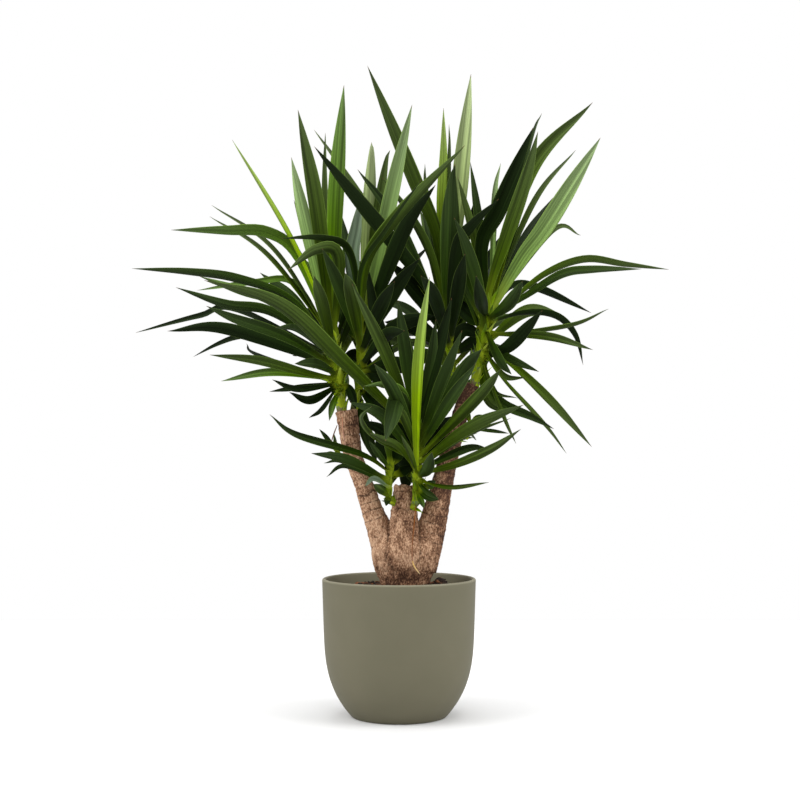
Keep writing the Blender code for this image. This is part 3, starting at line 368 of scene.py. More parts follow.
soil = new_piece("potting_soil", soil_mesh(), earth)
crumbs = new_piece("soil_crumbs", grown_mesh(soil, scatter, {
    "Count per m2": CRUMB_COUNT_PER_M2, "Smallest": CRUMB_SIZE[0], "Largest": CRUMB_SIZE[1], "Long": 1.2,
    "Facets": 1, "Seed": 4, "Reach": LOOSE_REACH, "Material": earth}), earth)
chips = new_piece("bark_chips", grown_mesh(soil, scatter, {
    "Count per m2": CHIP_COUNT_PER_M2, "Smallest": CHIP_SIZE[0], "Largest": CHIP_SIZE[1], "Long": 1.9,
    "Facets": 2, "Seed": 9, "Reach": LOOSE_REACH, "Material": earth}), earth)
for piece in (soil, crumbs, chips):
    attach(piece, "root")
    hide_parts("soil")


# The trunk: one thick rooted yucca cane that swells at its foot and parts into a short sawn stump
# and two long canes. Its corky bark is ringed by old leaf scars and cracked along its length.
SCAR_SPACING = 0.0160
SCAR_STEP = 0.0013          # metres that each ring of scars stands out
FISSURE_DEPTH = 0.0011
LUMP_DEPTH = 0.0014
SEAM_DEPTH = 0.0022          # of the grooves that run down from where two canes part
SAWN_UNEVEN = 0.005          # metres that the stump's broken top rises and falls
SEAM_WIDTH = 0.0040
SEAM_REACH = (0.006, 0.017)
BARK_VOXEL = 0.0016
TRUNK_FINE_SIDES = 40
TRUNK_FOOT = 0.120
# cane stops as (x, y, z, diameter), from inside the swollen foot to the top
LEFT_CANE = [(-0.012, 0.000, 0.272, 0.066), (-0.029, 0.001, 0.322, 0.050), (-0.047, 0.002, 0.369, 0.040),
             (-0.066, 0.005, 0.425, 0.034), (-0.084, 0.008, 0.476, 0.034), (-0.096, 0.011, 0.554, 0.040)]
STUMP = [(0.009, -0.004, 0.290, 0.078), (0.009, -0.007, 0.343, 0.056), (0.009, -0.010, 0.385, 0.043),
         (0.009, -0.011, 0.418, 0.037)]
RIGHT_CANE = [(0.034, 0.000, 0.272, 0.072), (0.056, 0.000, 0.330, 0.054), (0.076, -0.002, 0.411, 0.040),
              (0.097, -0.004, 0.496, 0.032), (0.115, -0.006, 0.559, 0.028), (0.134, -0.008, 0.602, 0.026)]
# the swollen foot as (height, radius in x, radius in y)
SWOLLEN_FOOT = [(0.120, 0.0455, 0.0400), (0.180, 0.0455, 0.0400), (0.240, 0.0455, 0.0400),
                (0.252, 0.049, 0.041), (0.264, 0.054, 0.043), (0.277, 0.058, 0.045),
                (0.290, 0.060, 0.046), (0.303, 0.0605, 0.045), (0.316, 0.056, 0.041),
                (0.330, 0.046, 0.034)]
BARK_PALE = "#C29E80"
BARK_MID = "#8E6A50"
BARK_BROWN = "#70503B"
BARK_DARK = "#442C1F"
# the colour of cracks, scar grooves and seams: darker bark, with painted shade in these grooves
BARK_CRACK_SHADE = "#2C1D14"


def smooth_path(points, steps):
    """Points on a curve through the given ones, at the given shares of its length."""
    ends = [points[0] * 2 - points[1]] + points + [points[-1] * 2 - points[-2]]
    fine = []
    per_span = 16
    for span in range(len(points) - 1):
        before, start, stop, after = ends[span:span + 4]
        for part in range(per_span):
            t = part / per_span
            fine.append(0.5 * (2 * start + (stop - before) * t
                               + (2 * before - 5 * start + 4 * stop - after) * t * t
                               + (3 * start - before - 3 * stop + after) * t * t * t))
    fine.append(points[-1])
    lengths = [0.0]
    for one, two in zip(fine, fine[1:]):
        lengths.append(lengths[-1] + (two - one).length)
    spread = []
    place = 0
    for fraction in steps:
        goal = fraction * lengths[-1]
        while place < len(fine) - 2 and lengths[place + 1] < goal:
            place += 1
        share = (goal - lengths[place]) / max(lengths[place + 1] - lengths[place], 1e-9)
        spread.append(fine[place].lerp(fine[place + 1], share))
    return spread


def closed_loft(rings):
    """Vertices and faces of a closed body through rings of points."""
    count = len(rings[0])
    verts = [Vector(spot) for ring in rings for spot in ring]
    faces = []
    for level in range(len(rings) - 1):
        low = level * count
        for side in range(count):
            after = (side + 1) % count
            faces.append((low + side, low + after, low + count + after, low + count + side))
    faces.append(tuple(reversed(range(count))))
    faces.append(tuple(range(len(verts) - count, len(verts))))
    return verts, faces


def rings_along(points, radii, sides):
    rings = []
    for place, (point, radius) in enumerate(zip(points, radii)):
        ahead = (points[min(place + 1, len(points) - 1)] - points[max(place - 1, 0)]).normalized()
        side = Vector((0, 1, 0)).cross(ahead).normalized()
        front = ahead.cross(side)
        turns = [tau * step / sides for step in range(sides)]
        rings.append([point + side * radius * cos(turn) + front * radius * sin(turn) for turn in turns])
    return rings


def cane_line(stops):
    """A cane's centres and radii every 2 mm or so."""
    centres = [Vector(stop[:3]) for stop in stops]
    length = sum((two - one).length for one, two in zip(centres, centres[1:]))
    count = round(length / 0.002)
    steps = [step / count for step in range(count + 1)]
    sizes = smooth_path([Vector((stop[3], 0, stop[2])) for stop in stops], steps)
    return smooth_path(centres, steps), [size.x / 2 for size in sizes]


def foot_line():
    """The swollen foot's centres and its radii in x and y."""
    steps = [step / 100 for step in range(101)]
    sizes = smooth_path([Vector((radius_x, radius_y, height)) for height, radius_x, radius_y
                         in SWOLLEN_FOOT], steps)
    return [Vector((TRUNK_CENTRE_X, 0, size.z)) for size in sizes], sizes


def raw_trunk():
    """The foot and the canes as crossing closed bodies."""
    centres, sizes = foot_line()
    rings = [[Vector((centre.x + size.x * cos(turn), size.y * sin(turn), centre.z))
              for turn in [tau * step / TRUNK_FINE_SIDES for step in range(TRUNK_FINE_SIDES)]]
             for centre, size in zip(centres, sizes)]
    bodies = [closed_loft(rings)]
    for stops in (LEFT_CANE, STUMP, RIGHT_CANE):
        bodies.append(closed_loft(rings_along(*cane_line(stops), TRUNK_FINE_SIDES)))
    verts = []
    faces = []
    for body_verts, body_faces in bodies:
        start = len(verts)
        verts += body_verts
        faces += [tuple(start + corner for corner in face) for face in body_faces]
    mesh = bpy.data.meshes.new("yucca_trunk")
    mesh.from_pydata(verts, [], faces)
    return mesh


def bark_places(spots):
    """Each spot's cane, its place in it as if it stood straight, and how much of a seam it is."""
    lines = [foot_line()] + [cane_line(stops) for stops in (LEFT_CANE, STUMP, RIGHT_CANE)]
    best = np.full(len(spots), 1e9)
    cane = np.zeros(len(spots), int)
    place = np.zeros((len(spots), 3))
    beyond = np.zeros((len(lines), len(spots)))
    for number, (centres, sizes) in enumerate(lines):
        centre = np.array([tuple(point) for point in centres])
        radius = np.array([size.x if number == 0 else size for size in sizes])
        ahead = np.gradient(centre, axis=0)
        ahead /= np.linalg.norm(ahead, axis=1)[:, None]
        side = np.cross((0.0, 1.0, 0.0), ahead)
        side /= np.linalg.norm(side, axis=1)[:, None]
        front = np.cross(ahead, side)
        along = np.concatenate(([0.0], np.cumsum(np.linalg.norm(np.diff(centre, axis=0), axis=1))))
        for start in range(0, len(spots), 4000):
            block = spots[start:start + 4000]
            away = np.linalg.norm(block[:, None, :] - centre[None, :, :], axis=2)
            near = away.argmin(axis=1)
            offset = block - centre[near]
            over = away[np.arange(len(block)), near] - radius[near]
            beyond[number, start:start + 4000] = over
            better = over < best[start:start + 4000]
            rows = np.arange(start, start + len(block))[better]
            best[rows] = over[better]
            cane[rows] = number
            place[rows] = np.stack([(offset * side[near]).sum(1), (offset * front[near]).sum(1),
                                    along[near] + (offset * ahead[near]).sum(1)], axis=1)[better]
    nearest, second = np.sort(beyond[1:], axis=0)[:2]
    seam = np.clip(1 - (second - nearest) / SEAM_WIDTH, 0, 1)
    seam *= np.clip((SEAM_REACH[1] - second) / (SEAM_REACH[1] - SEAM_REACH[0]), 0, 1)
    return cane, place, seam


def bark_relief(place, cane):
    """How far the bark stands out at a place of a straightened cane, and how dark its cracks and scar grooves are
    painted: darker bark, with painted shade in them.
    """
    spot = Vector(place) + Vector((0, 0, 3.7 * cane))
    wander = 0.0045 * noise.noise(spot / 0.021) + 0.0016 * noise.noise(spot / 0.006)
    rung = (spot.z + wander) / SCAR_SPACING
    step = rung - floor(rung)
    weight = 0.6 + 0.5 * noise.noise(Vector((spot.x / 0.02, spot.y / 0.02, floor(rung) * 1.7)))
    ring = (step if step < 0.82 else (1 - step) / 0.18 * 0.82) * weight
    run = 0.030 if cane == 0 else 0.014
    fissure = noise.noise(Vector((spot.x / 0.0050, spot.y / 0.0050, spot.z / run)))
    crack = max(0.0, 1.0 - abs(fissure) / 0.16)
    lump = noise.fractal(spot / 0.013, 0.9, 2.1, 3)
    flake = noise.noise(spot / 0.0035)
    out = SCAR_STEP * ring - FISSURE_DEPTH * crack * (0.5 + 0.5 * weight) + LUMP_DEPTH * lump * 0.6
    # the second value darkens the cracks and the groove at each scar ring: darker bark, with painted shade in the
    # grooves
    return out + 0.0006 * flake, 0.7 * crack + (1.6 if step > 0.86 else 0.0) * weight * (0.2 if cane == 0 else 1.0)


def trunk_mesh():
    """The joined canes, remeshed fine, with scars, cracks and lumps raised from the surface."""
    rough = new_piece("yucca_trunk_rough", raw_trunk(), bpy.data.materials.new("unused"))
    remesh = rough.modifiers.new("join", "REMESH")
    remesh.mode = "VOXEL"
    remesh.voxel_size = BARK_VOXEL
    soften = rough.modifiers.new("soften", "SMOOTH")
    soften.factor = 0.5
    soften.iterations = 6
    graph = bpy.context.evaluated_depsgraph_get()
    mesh = bpy.data.meshes.new_from_object(rough.evaluated_get(graph))
    bpy.data.materials.remove(rough.data.materials[0])
    bpy.data.objects.remove(rough)
    spots = np.zeros(len(mesh.vertices) * 3)
    mesh.vertices.foreach_get("co", spots)
    spots = spots.reshape(-1, 3)
    normals = np.array([tuple(vert.normal) for vert in mesh.vertices])
    cane, place, seam = bark_places(spots)
    relief = np.array([bark_relief(row, number) for row, number in zip(place, cane)])
    # the seams where two canes part are cut in and painted darker, painted shade between the canes
    relief[:, 0] -= SEAM_DEPTH * seam
    relief[:, 1] += 0.8 * seam
    above_soil = np.clip((spots[:, 2] - 0.232) / 0.006, 0.0, 1.0)
    spots += normals * (relief[:, 0] * above_soil)[:, None]
    sawn = np.clip((spots[:, 2] - STUMP[-1][2] + 0.004) / 0.003, 0, 1) * (cane == 2)
    uneven = np.array([noise.noise(Vector((x, y, 0.0)) / 0.011) for x, y in spots[:, :2]])
    spots[:, 2] += SAWN_UNEVEN * sawn * uneven
    mesh.vertices.foreach_set("co", spots.ravel())
    bark_place = mesh.attributes.new("bark_place", "FLOAT_VECTOR", "POINT")
    bark_place.data.foreach_set("vector", (place + np.outer(cane, (0.0, 0.0, 3.7))).ravel())
    crack_shade_layer = mesh.attributes.new("crack", "FLOAT", "POINT")
    crack_shade_layer.data.foreach_set("value", relief[:, 1])
    # darker on the right cane and just above the soil, a touch darker towards the cane tops and a touch lighter on the
    # left cane
    bark_darkening_layer = mesh.attributes.new("bark_darkening", "FLOAT", "POINT")
    right = np.clip((spots[:, 0] - 0.04) / 0.05, 0, 1) * np.clip((spots[:, 2] - 0.24) / 0.12, 0, 1)
    left = np.clip((0.0 - spots[:, 0]) / 0.04, 0, 1) * np.clip((0.50 - spots[:, 2]) / 0.1, 0, 1)
    tops = np.clip((spots[:, 2] - 0.44) / 0.10, 0, 1)
    near_soil = np.clip((0.278 - spots[:, 2]) / 0.03, 0, 1)
    bark_darkening_layer.data.foreach_set("value", np.clip(0.33 + 0.12 * right - 0.04 * left + 0.03 * tops
                                           + 0.12 * near_soil, 0, 1))
    mesh.update()
    mesh.shade_smooth()
    return mesh


# Dry yucca bark: papery cork in tan and brown flecks, quite matt. It is dark in its cracks, scar grooves and seams,
# darker bark with painted shade in these grooves, and it is set darker on the right cane, towards the cane tops and
# just above the soil.
bark, tree, shader = new_finish("corky_bark")
place = add_node(tree, "ShaderNodeAttribute", attribute_name="bark_place").outputs["Vector"]
crack = add_node(tree, "ShaderNodeAttribute", attribute_name="crack").outputs["Fac"]
bark_darkening = add_node(tree, "ShaderNodeAttribute", attribute_name="bark_darkening").outputs["Fac"]
drawn = add_node(tree, "ShaderNodeMapping", {"Vector": place, "Scale": (1.0, 1.0, 0.55)})
flecks = add_node(tree, "ShaderNodeTexNoise", {"Vector": drawn.outputs[0], "Scale": 1 / 0.0025,
                                               "Detail": 4.0, "Roughness": 0.7})
patches = add_node(tree, "ShaderNodeTexNoise", {"Vector": drawn.outputs[0], "Scale": 1 / 0.018,
                                                "Detail": 3.0})
weathered = add_node(tree, "ShaderNodeMath", {0: patches.outputs["Fac"], 1: 0.56, 2: -0.28},
                     operation="MULTIPLY_ADD")
lean = add_node(tree, "ShaderNodeMath", {0: weathered.outputs[0], 1: bark_darkening}, operation="ADD")
lit = add_node(tree, "ShaderNodeMath", {0: flecks.outputs["Fac"], 1: lean.outputs[0]},
               operation="SUBTRACT")
corky = add_node(tree, "ShaderNodeValToRGB", {"Fac": lit.outputs[0]})
ramp = corky.color_ramp
ramp.elements.new(0.5)
ramp.elements.new(0.7)
for element, at, code in zip(ramp.elements, (0.00, 0.09, 0.17, 0.31),
                             (BARK_DARK, BARK_BROWN, BARK_MID, BARK_PALE)):
    element.position = at
    element.color = from_hex(code)
# painted shade: cracks, scar grooves and seams darkened, partly darker bark
crack_shade = add_node(tree, "ShaderNodeMapRange", {"Value": crack, 1: 0.35, 2: 1.2, 3: 0.0, 4: 0.7})
tint = add_node(tree, "ShaderNodeMix", {"Factor": crack_shade.outputs[0], 6: corky.outputs[0],
                                        7: from_hex(BARK_CRACK_SHADE)}, data_type="RGBA")
relief = add_node(tree, "ShaderNodeBump", {"Height": flecks.outputs["Fac"], "Strength": 0.7,
                                           "Distance": 0.0007})
tree.links.new(tint.outputs[2], shader.inputs["Base Color"])
tree.links.new(relief.outputs[0], shader.inputs["Normal"])
shader.inputs["Roughness"].default_value = 0.88
shader.inputs["Specular IOR Level"].default_value = 0.2

trunk = new_piece("yucca_trunk", trunk_mesh(), bark)
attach(trunk, "root")
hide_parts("trunk")


# The leafy heads: eight shoots, each a short green stem that carries a spiral of stiff sword
# leaves. A leaf clasps the stem with a pale broad base, narrows, widens again and runs out in a
# sharp point. The front leaves are set one by one, and the rule sets those behind.
STEM_SIDES = 6
STEM_STEPS = 8
STEM_RINGS = 4
STEM_TAPER = 0.25
LEAVES_TRUNK = 2.4          # how many of the stem's steps stand in or close to the trunk
ROOT_SCATTER = 0.0015
BLADE_THICKNESS = 0.0024
BLADE_CHANNEL = 0.13        # how far the edges stand above the midrib, as a share of the width
WIDTH_PER_LENGTH = 0.066
BROADEST = 0.036
NARROWEST = 0.012
CLEARANCE = 0.0012          # kept between leaves of different heads
LEAF_LEAN = 0.35            # how far a leaf's upper face leans towards its stem
GOLDEN_ANGLE = radians(137.5)
BLADE_OUTLINE = [(0.0, 0.34), (0.16, 0.50), (0.34, 0.80), (0.50, 0.98), (0.60, 1.0),
                 (0.74, 0.84), (0.88, 0.46), (1.0, 0.0)]
SHORT_BLADE = 0.17
SHORT_BLADE_STEPS = [0.0, 0.38, 0.72, 1.0]
BLADE_STEPS = [0.0, 0.30, 0.60, 0.82, 1.0]
BENT_BLADE_STEPS = [0.0, 0.22, 0.44, 0.64, 0.82, 1.0]
TIP_DEPTH_STEP = 0.008
TIP_DEPTH_MOST = 0.24
BACK_LOWEST = 0.12
BACK_SPREAD = (26, 52)      # degrees to either side of straight back
BACK_RISE = (8, 74)
BACK_SAG = 0.12
BACK_SHOWN = (0.7, 1.0)
# the back leaves take dark green, the nearly black tone of painted shade and mid green in turn
BACK_TONES = ("dark", "deep", "mid")

# leaf colours: the upper face of each tone
TONES = {
    # painted shade over a dark green: nearly black, for leaves deep in the heads
    "deep": "#111E05",
    "dark": "#26380E",
    "mid": "#364810",
    "fresh": "#466314",
    "young": "#7C9A12",
    # these three: green painted paler and greyer, a painted sheen where a leaf catches the light
    "light_sheen": "#6E884A",
    "pale_sheen": "#7C8C54",
    "grey_sheen": "#66795E",
}

HEADS = {
    "left_head": dict(
        stem=[(-0.104, 0.006, 0.545), (-0.108, 0.006, 0.590), (-0.121, 0.000, 0.690)],
        radius=0.009, back_leaves=12, back_length=0.38, seed=21),
    "centre_left_head": dict(
        stem=[(-0.086, 0.017, 0.546), (-0.074, 0.026, 0.600), (-0.068, 0.034, 0.705)],
        radius=0.0065, back_leaves=11, back_length=0.38, seed=101),
    "centre_right_head": dict(
        stem=[(0.117, 0.000, 0.566), (0.105, 0.024, 0.592), (0.088, 0.055, 0.715)],
        radius=0.0065, back_leaves=11, back_length=0.38, seed=102),
    "right_head": dict(
        stem=[(0.134, -0.008, 0.592), (0.146, -0.010, 0.640), (0.165, -0.012, 0.750)],
        radius=0.009, back_leaves=12, back_length=0.38, seed=24),
    "front_head": dict(
        stem=[(0.016, -0.012, 0.378), (0.031, -0.033, 0.398), (0.033, -0.038, 0.525)],
        radius=0.0065, back_leaves=4, back_length=0.28, seed=112),
    "low_left_shoot": dict(
        stem=[(-0.004, -0.014, 0.382), (-0.018, -0.034, 0.400), (-0.016, -0.042, 0.455)],
        radius=0.005, back_leaves=2, back_length=0.16, seed=26),
    "low_right_shoot": dict(
        stem=[(0.102, -0.008, 0.500), (0.122, -0.018, 0.508), (0.130, -0.020, 0.526)],
        radius=0.004, back_leaves=1, back_length=0.09, seed=27),
    "cane_shoot": dict(
        stem=[(-0.082, -0.004, 0.458), (-0.101, -0.014, 0.466), (-0.109, -0.016, 0.478)],
        radius=0.0035, back_leaves=0, back_length=0.08, seed=28),
}

# A row is a leaf: the points that it passes from its tip inwards, as seen from the front (x, z),
# how far its tip lies behind the pot's axis (y), its root's place up the stem from 0 to 1, the
# width that it shows, and its tone.
LEAVES = {
    "left_head": [
        ([(-0.416, 0.883), (-0.316, 0.881), (-0.240, 0.877), (-0.184, 0.832)], -0.120, 0.95, 0.022, "fresh"),
        ([(-0.342, 0.929), (-0.229, 0.846)], 0.120, 0.90, 0.008, "mid"),
        ([(-0.345, 0.908), (-0.240, 0.836)], 0.080, 0.92, 0.009, "mid"),
        ([(-0.487, 0.813), (-0.380, 0.805), (-0.293, 0.792), (-0.195, 0.754)], -0.110, 0.75, 0.017, "dark"),
        ([(-0.364, 0.799), (-0.289, 0.774), (-0.202, 0.750), (-0.147, 0.701)], -0.040, 0.58, 0.021, "fresh"),
        ([(-0.368, 0.773), (-0.264, 0.786), (-0.190, 0.783)], 0.120, 0.85, 0.012, "fresh"),
        ([(-0.407, 0.779), (-0.314, 0.747), (-0.229, 0.732)], -0.120, 0.65, 0.019, "dark"),
        ([(-0.480, 0.696), (-0.362, 0.725), (-0.296, 0.736)], 0.100, 0.62, 0.011, "deep"),
        ([(-0.351, 0.745), (-0.302, 0.723), (-0.205, 0.688)], -0.200, 0.42, 0.022, "dark"),
        ([(-0.422, 0.699), (-0.311, 0.703)], -0.050, 0.45, 0.024, "deep"),
        ([(-0.375, 0.652), (-0.329, 0.675), (-0.289, 0.688), (-0.244, 0.690)], 0.140, 0.65, 0.011, "deep"),
        ([(-0.278, 0.677), (-0.256, 0.654)], 0.160, 0.12, 0.008, "deep"),
        ([(-0.345, 0.656), (-0.253, 0.645), (-0.165, 0.622)], -0.140, 0.22, 0.018, "mid"),
        ([(-0.324, 0.608), (-0.229, 0.624)], 0.120, 0.22, 0.015, "fresh"),
        ([(-0.231, 0.611), (-0.184, 0.594)], -0.120, 0.14, 0.013, "deep"),
        ([(-0.236, 0.589), (-0.175, 0.597)], 0.060, 0.16, 0.011, "deep"),
        ([(-0.200, 0.588), (-0.160, 0.574)], -0.160, 0.12, 0.017, "deep"),
        ([(-0.164, 0.541), (-0.140, 0.556)], -0.100, 0.12, 0.009, "deep"),
        ([(-0.127, 0.536), (-0.120, 0.567)], -0.060, 0.02, 0.013, "fresh"),
        ([(-0.196, 1.016), (-0.176, 0.923)], 0.080, 1.00, 0.025, "light_sheen"),
        ([(-0.184, 1.103), (-0.149, 0.923)], -0.040, 1.00, 0.030, "mid"),
        ([(-0.134, 1.061), (-0.132, 0.946)], 0.140, 1.00, 0.012, "mid"),
        ([(-0.100, 1.148), (-0.115, 0.923)], 0.080, 1.00, 0.030, "fresh"),
        ([(-0.202, 0.810), (-0.150, 0.848), (-0.110, 0.832)], -0.110, 0.90, 0.024, "mid"),
        ([(-0.304, 1.048), (-0.187, 0.845)], -0.100, 1.00, 0.009, "young"),
        ([(-0.225, 0.706), (-0.180, 0.700)], -0.250, 0.55, 0.016, "dark"),
        ([(-0.155, 0.800), (-0.140, 0.750)], -0.240, 0.70, 0.026, "mid"),
        ([(-0.190, 0.640), (-0.150, 0.640)], -0.240, 0.30, 0.020, "dark"),
        ([(-0.045, 0.636), (-0.082, 0.654)], 0.080, 0.35, 0.026, "deep"),
        ([(-0.180, 0.745), (-0.151, 0.716)], 0.120, 0.60, 0.024, "dark"),
        ([(-0.078, 0.557), (-0.091, 0.594)], -0.030, 0.05, 0.018, "deep"),
    ],
    "centre_left_head": [
        ([(-0.050, 1.043), (-0.051, 0.996)], 0.120, 1.00, 0.025, "pale_sheen"),
        ([(-0.016, 1.029), (-0.027, 0.985)], 0.100, 1.00, 0.021, "mid"),
        ([(-0.069, 0.945), (-0.078, 0.886), (-0.085, 0.825)], 0.020, 0.95, 0.028, "grey_sheen"),
        ([(0.024, 1.112), (-0.008, 0.975)], -0.020, 1.00, 0.029, "light_sheen"),
        ([(0.121, 1.038), (-0.007, 0.901), (-0.060, 0.815)], -0.140, 0.75, 0.024, "mid"),
        ([(0.067, 0.966), (0.007, 0.879)], -0.100, 0.90, 0.031, "deep"),
        ([(0.041, 0.975), (-0.022, 0.883), (-0.068, 0.805)], -0.150, 0.80, 0.010, "dark"),
        ([(-0.215, 0.868), (-0.135, 0.867), (-0.089, 0.837)], -0.080, 0.95, 0.015, "dark"),
        ([(-0.030, 0.905), (-0.048, 0.830)], 0.200, 0.85, 0.027, "deep"),
        ([(-0.140, 0.850), (-0.108, 0.780)], -0.120, 0.70, 0.026, "dark"),
        ([(-0.008, 0.790), (-0.035, 0.740)], -0.200, 0.60, 0.028, "deep"),
        ([(-0.098, 0.805), (-0.085, 0.760)], -0.220, 0.65, 0.028, "mid"),
        ([(0.010, 0.700), (-0.025, 0.690)], -0.200, 0.40, 0.026, "deep"),
        ([(0.038, 0.832), (-0.011, 0.770)], -0.020, 0.70, 0.030, "deep"),
        ([(0.071, 0.727), (0.005, 0.712)], 0.060, 0.60, 0.030, "deep"),
        ([(0.053, 0.621), (-0.013, 0.639)], 0.000, 0.25, 0.030, "deep"),
        ([(-0.009, 0.516), (-0.042, 0.563)], -0.050, 0.05, 0.026, "deep"),
        ([(-0.125, 0.763), (-0.096, 0.719)], 0.080, 0.75, 0.028, "dark"),
        ([(-0.040, 0.459), (-0.062, 0.523)], -0.010, 0.02, 0.024, "dark"),
        ([(-0.011, 0.594), (-0.047, 0.616)], 0.020, 0.10, 0.026, "deep"),
    ],
    "centre_right_head": [
        ([(-0.155, 1.036), (-0.024, 0.877), (0.050, 0.782)], -0.060, 0.90, 0.029, "deep"),
        ([(-0.155, 1.066), (-0.100, 0.985)], 0.160, 0.95, 0.010, "mid"),
        ([(-0.076, 0.994), (-0.004, 0.895)], 0.030, 0.85, 0.023, "dark"),
        ([(-0.058, 1.183), (-0.015, 1.074), (0.025, 0.976), (0.069, 0.866)], 0.080, 1.00, 0.027, "mid"),
        ([(0.047, 1.004), (0.050, 0.940)], 0.160, 0.95, 0.012, "mid"),
        ([(-0.031, 0.979), (0.018, 0.912), (0.062, 0.822)], 0.060, 0.80, 0.016, "mid"),
        ([(0.081, 1.106), (0.083, 1.016), (0.080, 0.901)], 0.120, 1.00, 0.019, "young"),
        ([(0.091, 1.076), (0.093, 1.000)], 0.160, 1.00, 0.010, "mid"),
        ([(0.131, 1.168), (0.116, 1.020)], 0.120, 1.00, 0.031, "pale_sheen"),
        ([(0.102, 1.004), (0.095, 0.946)], 0.000, 0.95, 0.037, "dark"),
        ([(0.182, 0.940), (0.131, 0.890), (0.105, 0.846)], -0.020, 0.80, 0.025, "deep"),
        ([(0.040, 0.800), (0.065, 0.760)], -0.220, 0.60, 0.027, "deep"),
        ([(0.120, 0.840), (0.108, 0.780)], -0.180, 0.70, 0.028, "deep"),
        ([(-0.016, 0.825), (0.045, 0.756)], 0.100, 0.75, 0.032, "deep"),
        ([(-0.027, 0.716), (0.035, 0.705)], 0.100, 0.55, 0.032, "deep"),
        ([(-0.013, 0.632), (0.045, 0.654)], 0.040, 0.30, 0.030, "dark"),
        ([(0.147, 0.814), (0.115, 0.759)], 0.120, 0.80, 0.030, "dark"),
        ([(0.187, 0.697), (0.136, 0.679)], 0.100, 0.50, 0.026, "deep"),
        ([(0.045, 0.516), (0.078, 0.574)], -0.060, 0.05, 0.026, "deep"),
        ([(0.155, 0.688), (0.116, 0.701)], 0.050, 0.50, 0.026, "deep"),
    ],
    "right_head": [
        ([(0.244, 1.070), (0.182, 0.923), (0.150, 0.854)], 0.040, 0.85, 0.032, "deep"),
        ([(0.260, 1.096), (0.240, 1.040)], 0.120, 1.00, 0.010, "dark"),
        ([(0.253, 1.063), (0.229, 0.970), (0.169, 0.792)], -0.060, 0.90, 0.028, "mid"),
        ([(0.353, 1.116), (0.240, 0.990)], 0.080, 1.00, 0.027, "mid"),
        ([(0.322, 1.029), (0.250, 0.937)], 0.160, 0.95, 0.011, "mid"),
        ([(0.367, 1.052), (0.269, 0.894), (0.222, 0.830)], -0.080, 0.75, 0.034, "light_sheen"),
        ([(0.331, 0.873), (0.280, 0.881)], 0.160, 0.85, 0.012, "mid"),
        ([(0.185, 1.005), (0.172, 0.940)], 0.120, 1.00, 0.012, "light_sheen"),
        ([(0.100, 0.906), (0.122, 0.856), (0.146, 0.770)], -0.100, 0.45, 0.025, "dark"),
        ([(0.492, 0.811), (0.411, 0.819), (0.338, 0.828), (0.265, 0.801), (0.198, 0.747)], -0.060, 0.70, 0.014, "mid"),
        ([(0.442, 0.812), (0.351, 0.810), (0.296, 0.801), (0.229, 0.761)], 0.100, 0.72, 0.016, "dark"),
        ([(0.350, 0.732), (0.254, 0.776), (0.205, 0.781)], 0.140, 0.85, 0.015, "deep"),
        ([(0.335, 0.637), (0.320, 0.692), (0.284, 0.727), (0.224, 0.732)], 0.060, 0.65, 0.013, "deep"),
        ([(0.261, 0.737), (0.200, 0.672)], -0.120, 0.12, 0.026, "deep"),
        ([(0.382, 0.740), (0.309, 0.708)], -0.020, 0.45, 0.009, "mid"),
        ([(0.353, 0.665), (0.269, 0.690)], -0.100, 0.50, 0.016, "mid"),
        ([(0.205, 0.620), (0.184, 0.645)], -0.200, 0.55, 0.018, "dark"),
        ([(0.255, 0.625), (0.205, 0.648)], -0.120, 0.35, 0.015, "dark"),
        ([(0.351, 0.488), (0.280, 0.567), (0.213, 0.632)], -0.120, 0.32, 0.017, "mid"),
        ([(0.231, 0.614), (0.190, 0.618)], -0.160, 0.25, 0.012, "mid"),
        ([(0.305, 0.476), (0.269, 0.523), (0.196, 0.603)], -0.080, 0.20, 0.008, "mid"),
        ([(0.216, 0.577), (0.173, 0.590)], -0.050, 0.15, 0.007, "mid"),
        ([(0.282, 0.521), (0.242, 0.543), (0.180, 0.576)], -0.080, 0.12, 0.018, "dark"),
        ([(0.213, 0.494), (0.191, 0.539)], -0.120, 0.12, 0.008, "mid"),
        ([(0.205, 0.552), (0.164, 0.574)], -0.020, 0.10, 0.020, "mid"),
        ([(0.225, 0.790), (0.200, 0.750)], -0.250, 0.70, 0.026, "dark"),
        ([(0.140, 0.800), (0.150, 0.750)], -0.250, 0.75, 0.026, "deep"),
        ([(0.096, 0.763), (0.129, 0.727)], 0.100, 0.60, 0.028, "deep"),
        ([(0.205, 0.654), (0.176, 0.665)], 0.080, 0.25, 0.022, "dark"),
    ],
    "front_head": [
        ([(0.056, 0.799), (0.040, 0.680), (0.033, 0.560)], -0.170, 0.12, 0.022, "young"),
        ([(0.067, 0.721), (0.058, 0.640)], -0.070, 0.90, 0.022, "dark"),
        ([(0.086, 0.708), (0.066, 0.630)], -0.030, 0.85, 0.020, "dark"),
        ([(-0.065, 0.599), (-0.025, 0.601), (0.010, 0.580)], -0.200, 0.60, 0.015, "fresh"),
        ([(0.186, 0.631), (0.145, 0.581)], -0.240, 0.50, 0.024, "mid"),
        ([(0.227, 0.565), (0.127, 0.523)], -0.220, 0.40, 0.024, "mid"),
        ([(0.204, 0.541), (0.122, 0.507)], -0.140, 0.32, 0.008, "mid"),
        ([(0.222, 0.521), (0.169, 0.486), (0.100, 0.456)], -0.200, 0.25, 0.018, "mid"),
        ([(0.164, 0.485), (0.122, 0.485)], -0.120, 0.30, 0.016, "dark"),
        ([(0.164, 0.424), (0.096, 0.414)], -0.140, 0.14, 0.009, "mid"),
        ([(0.073, 0.392), (0.052, 0.405)], -0.140, 0.14, 0.010, "dark"),
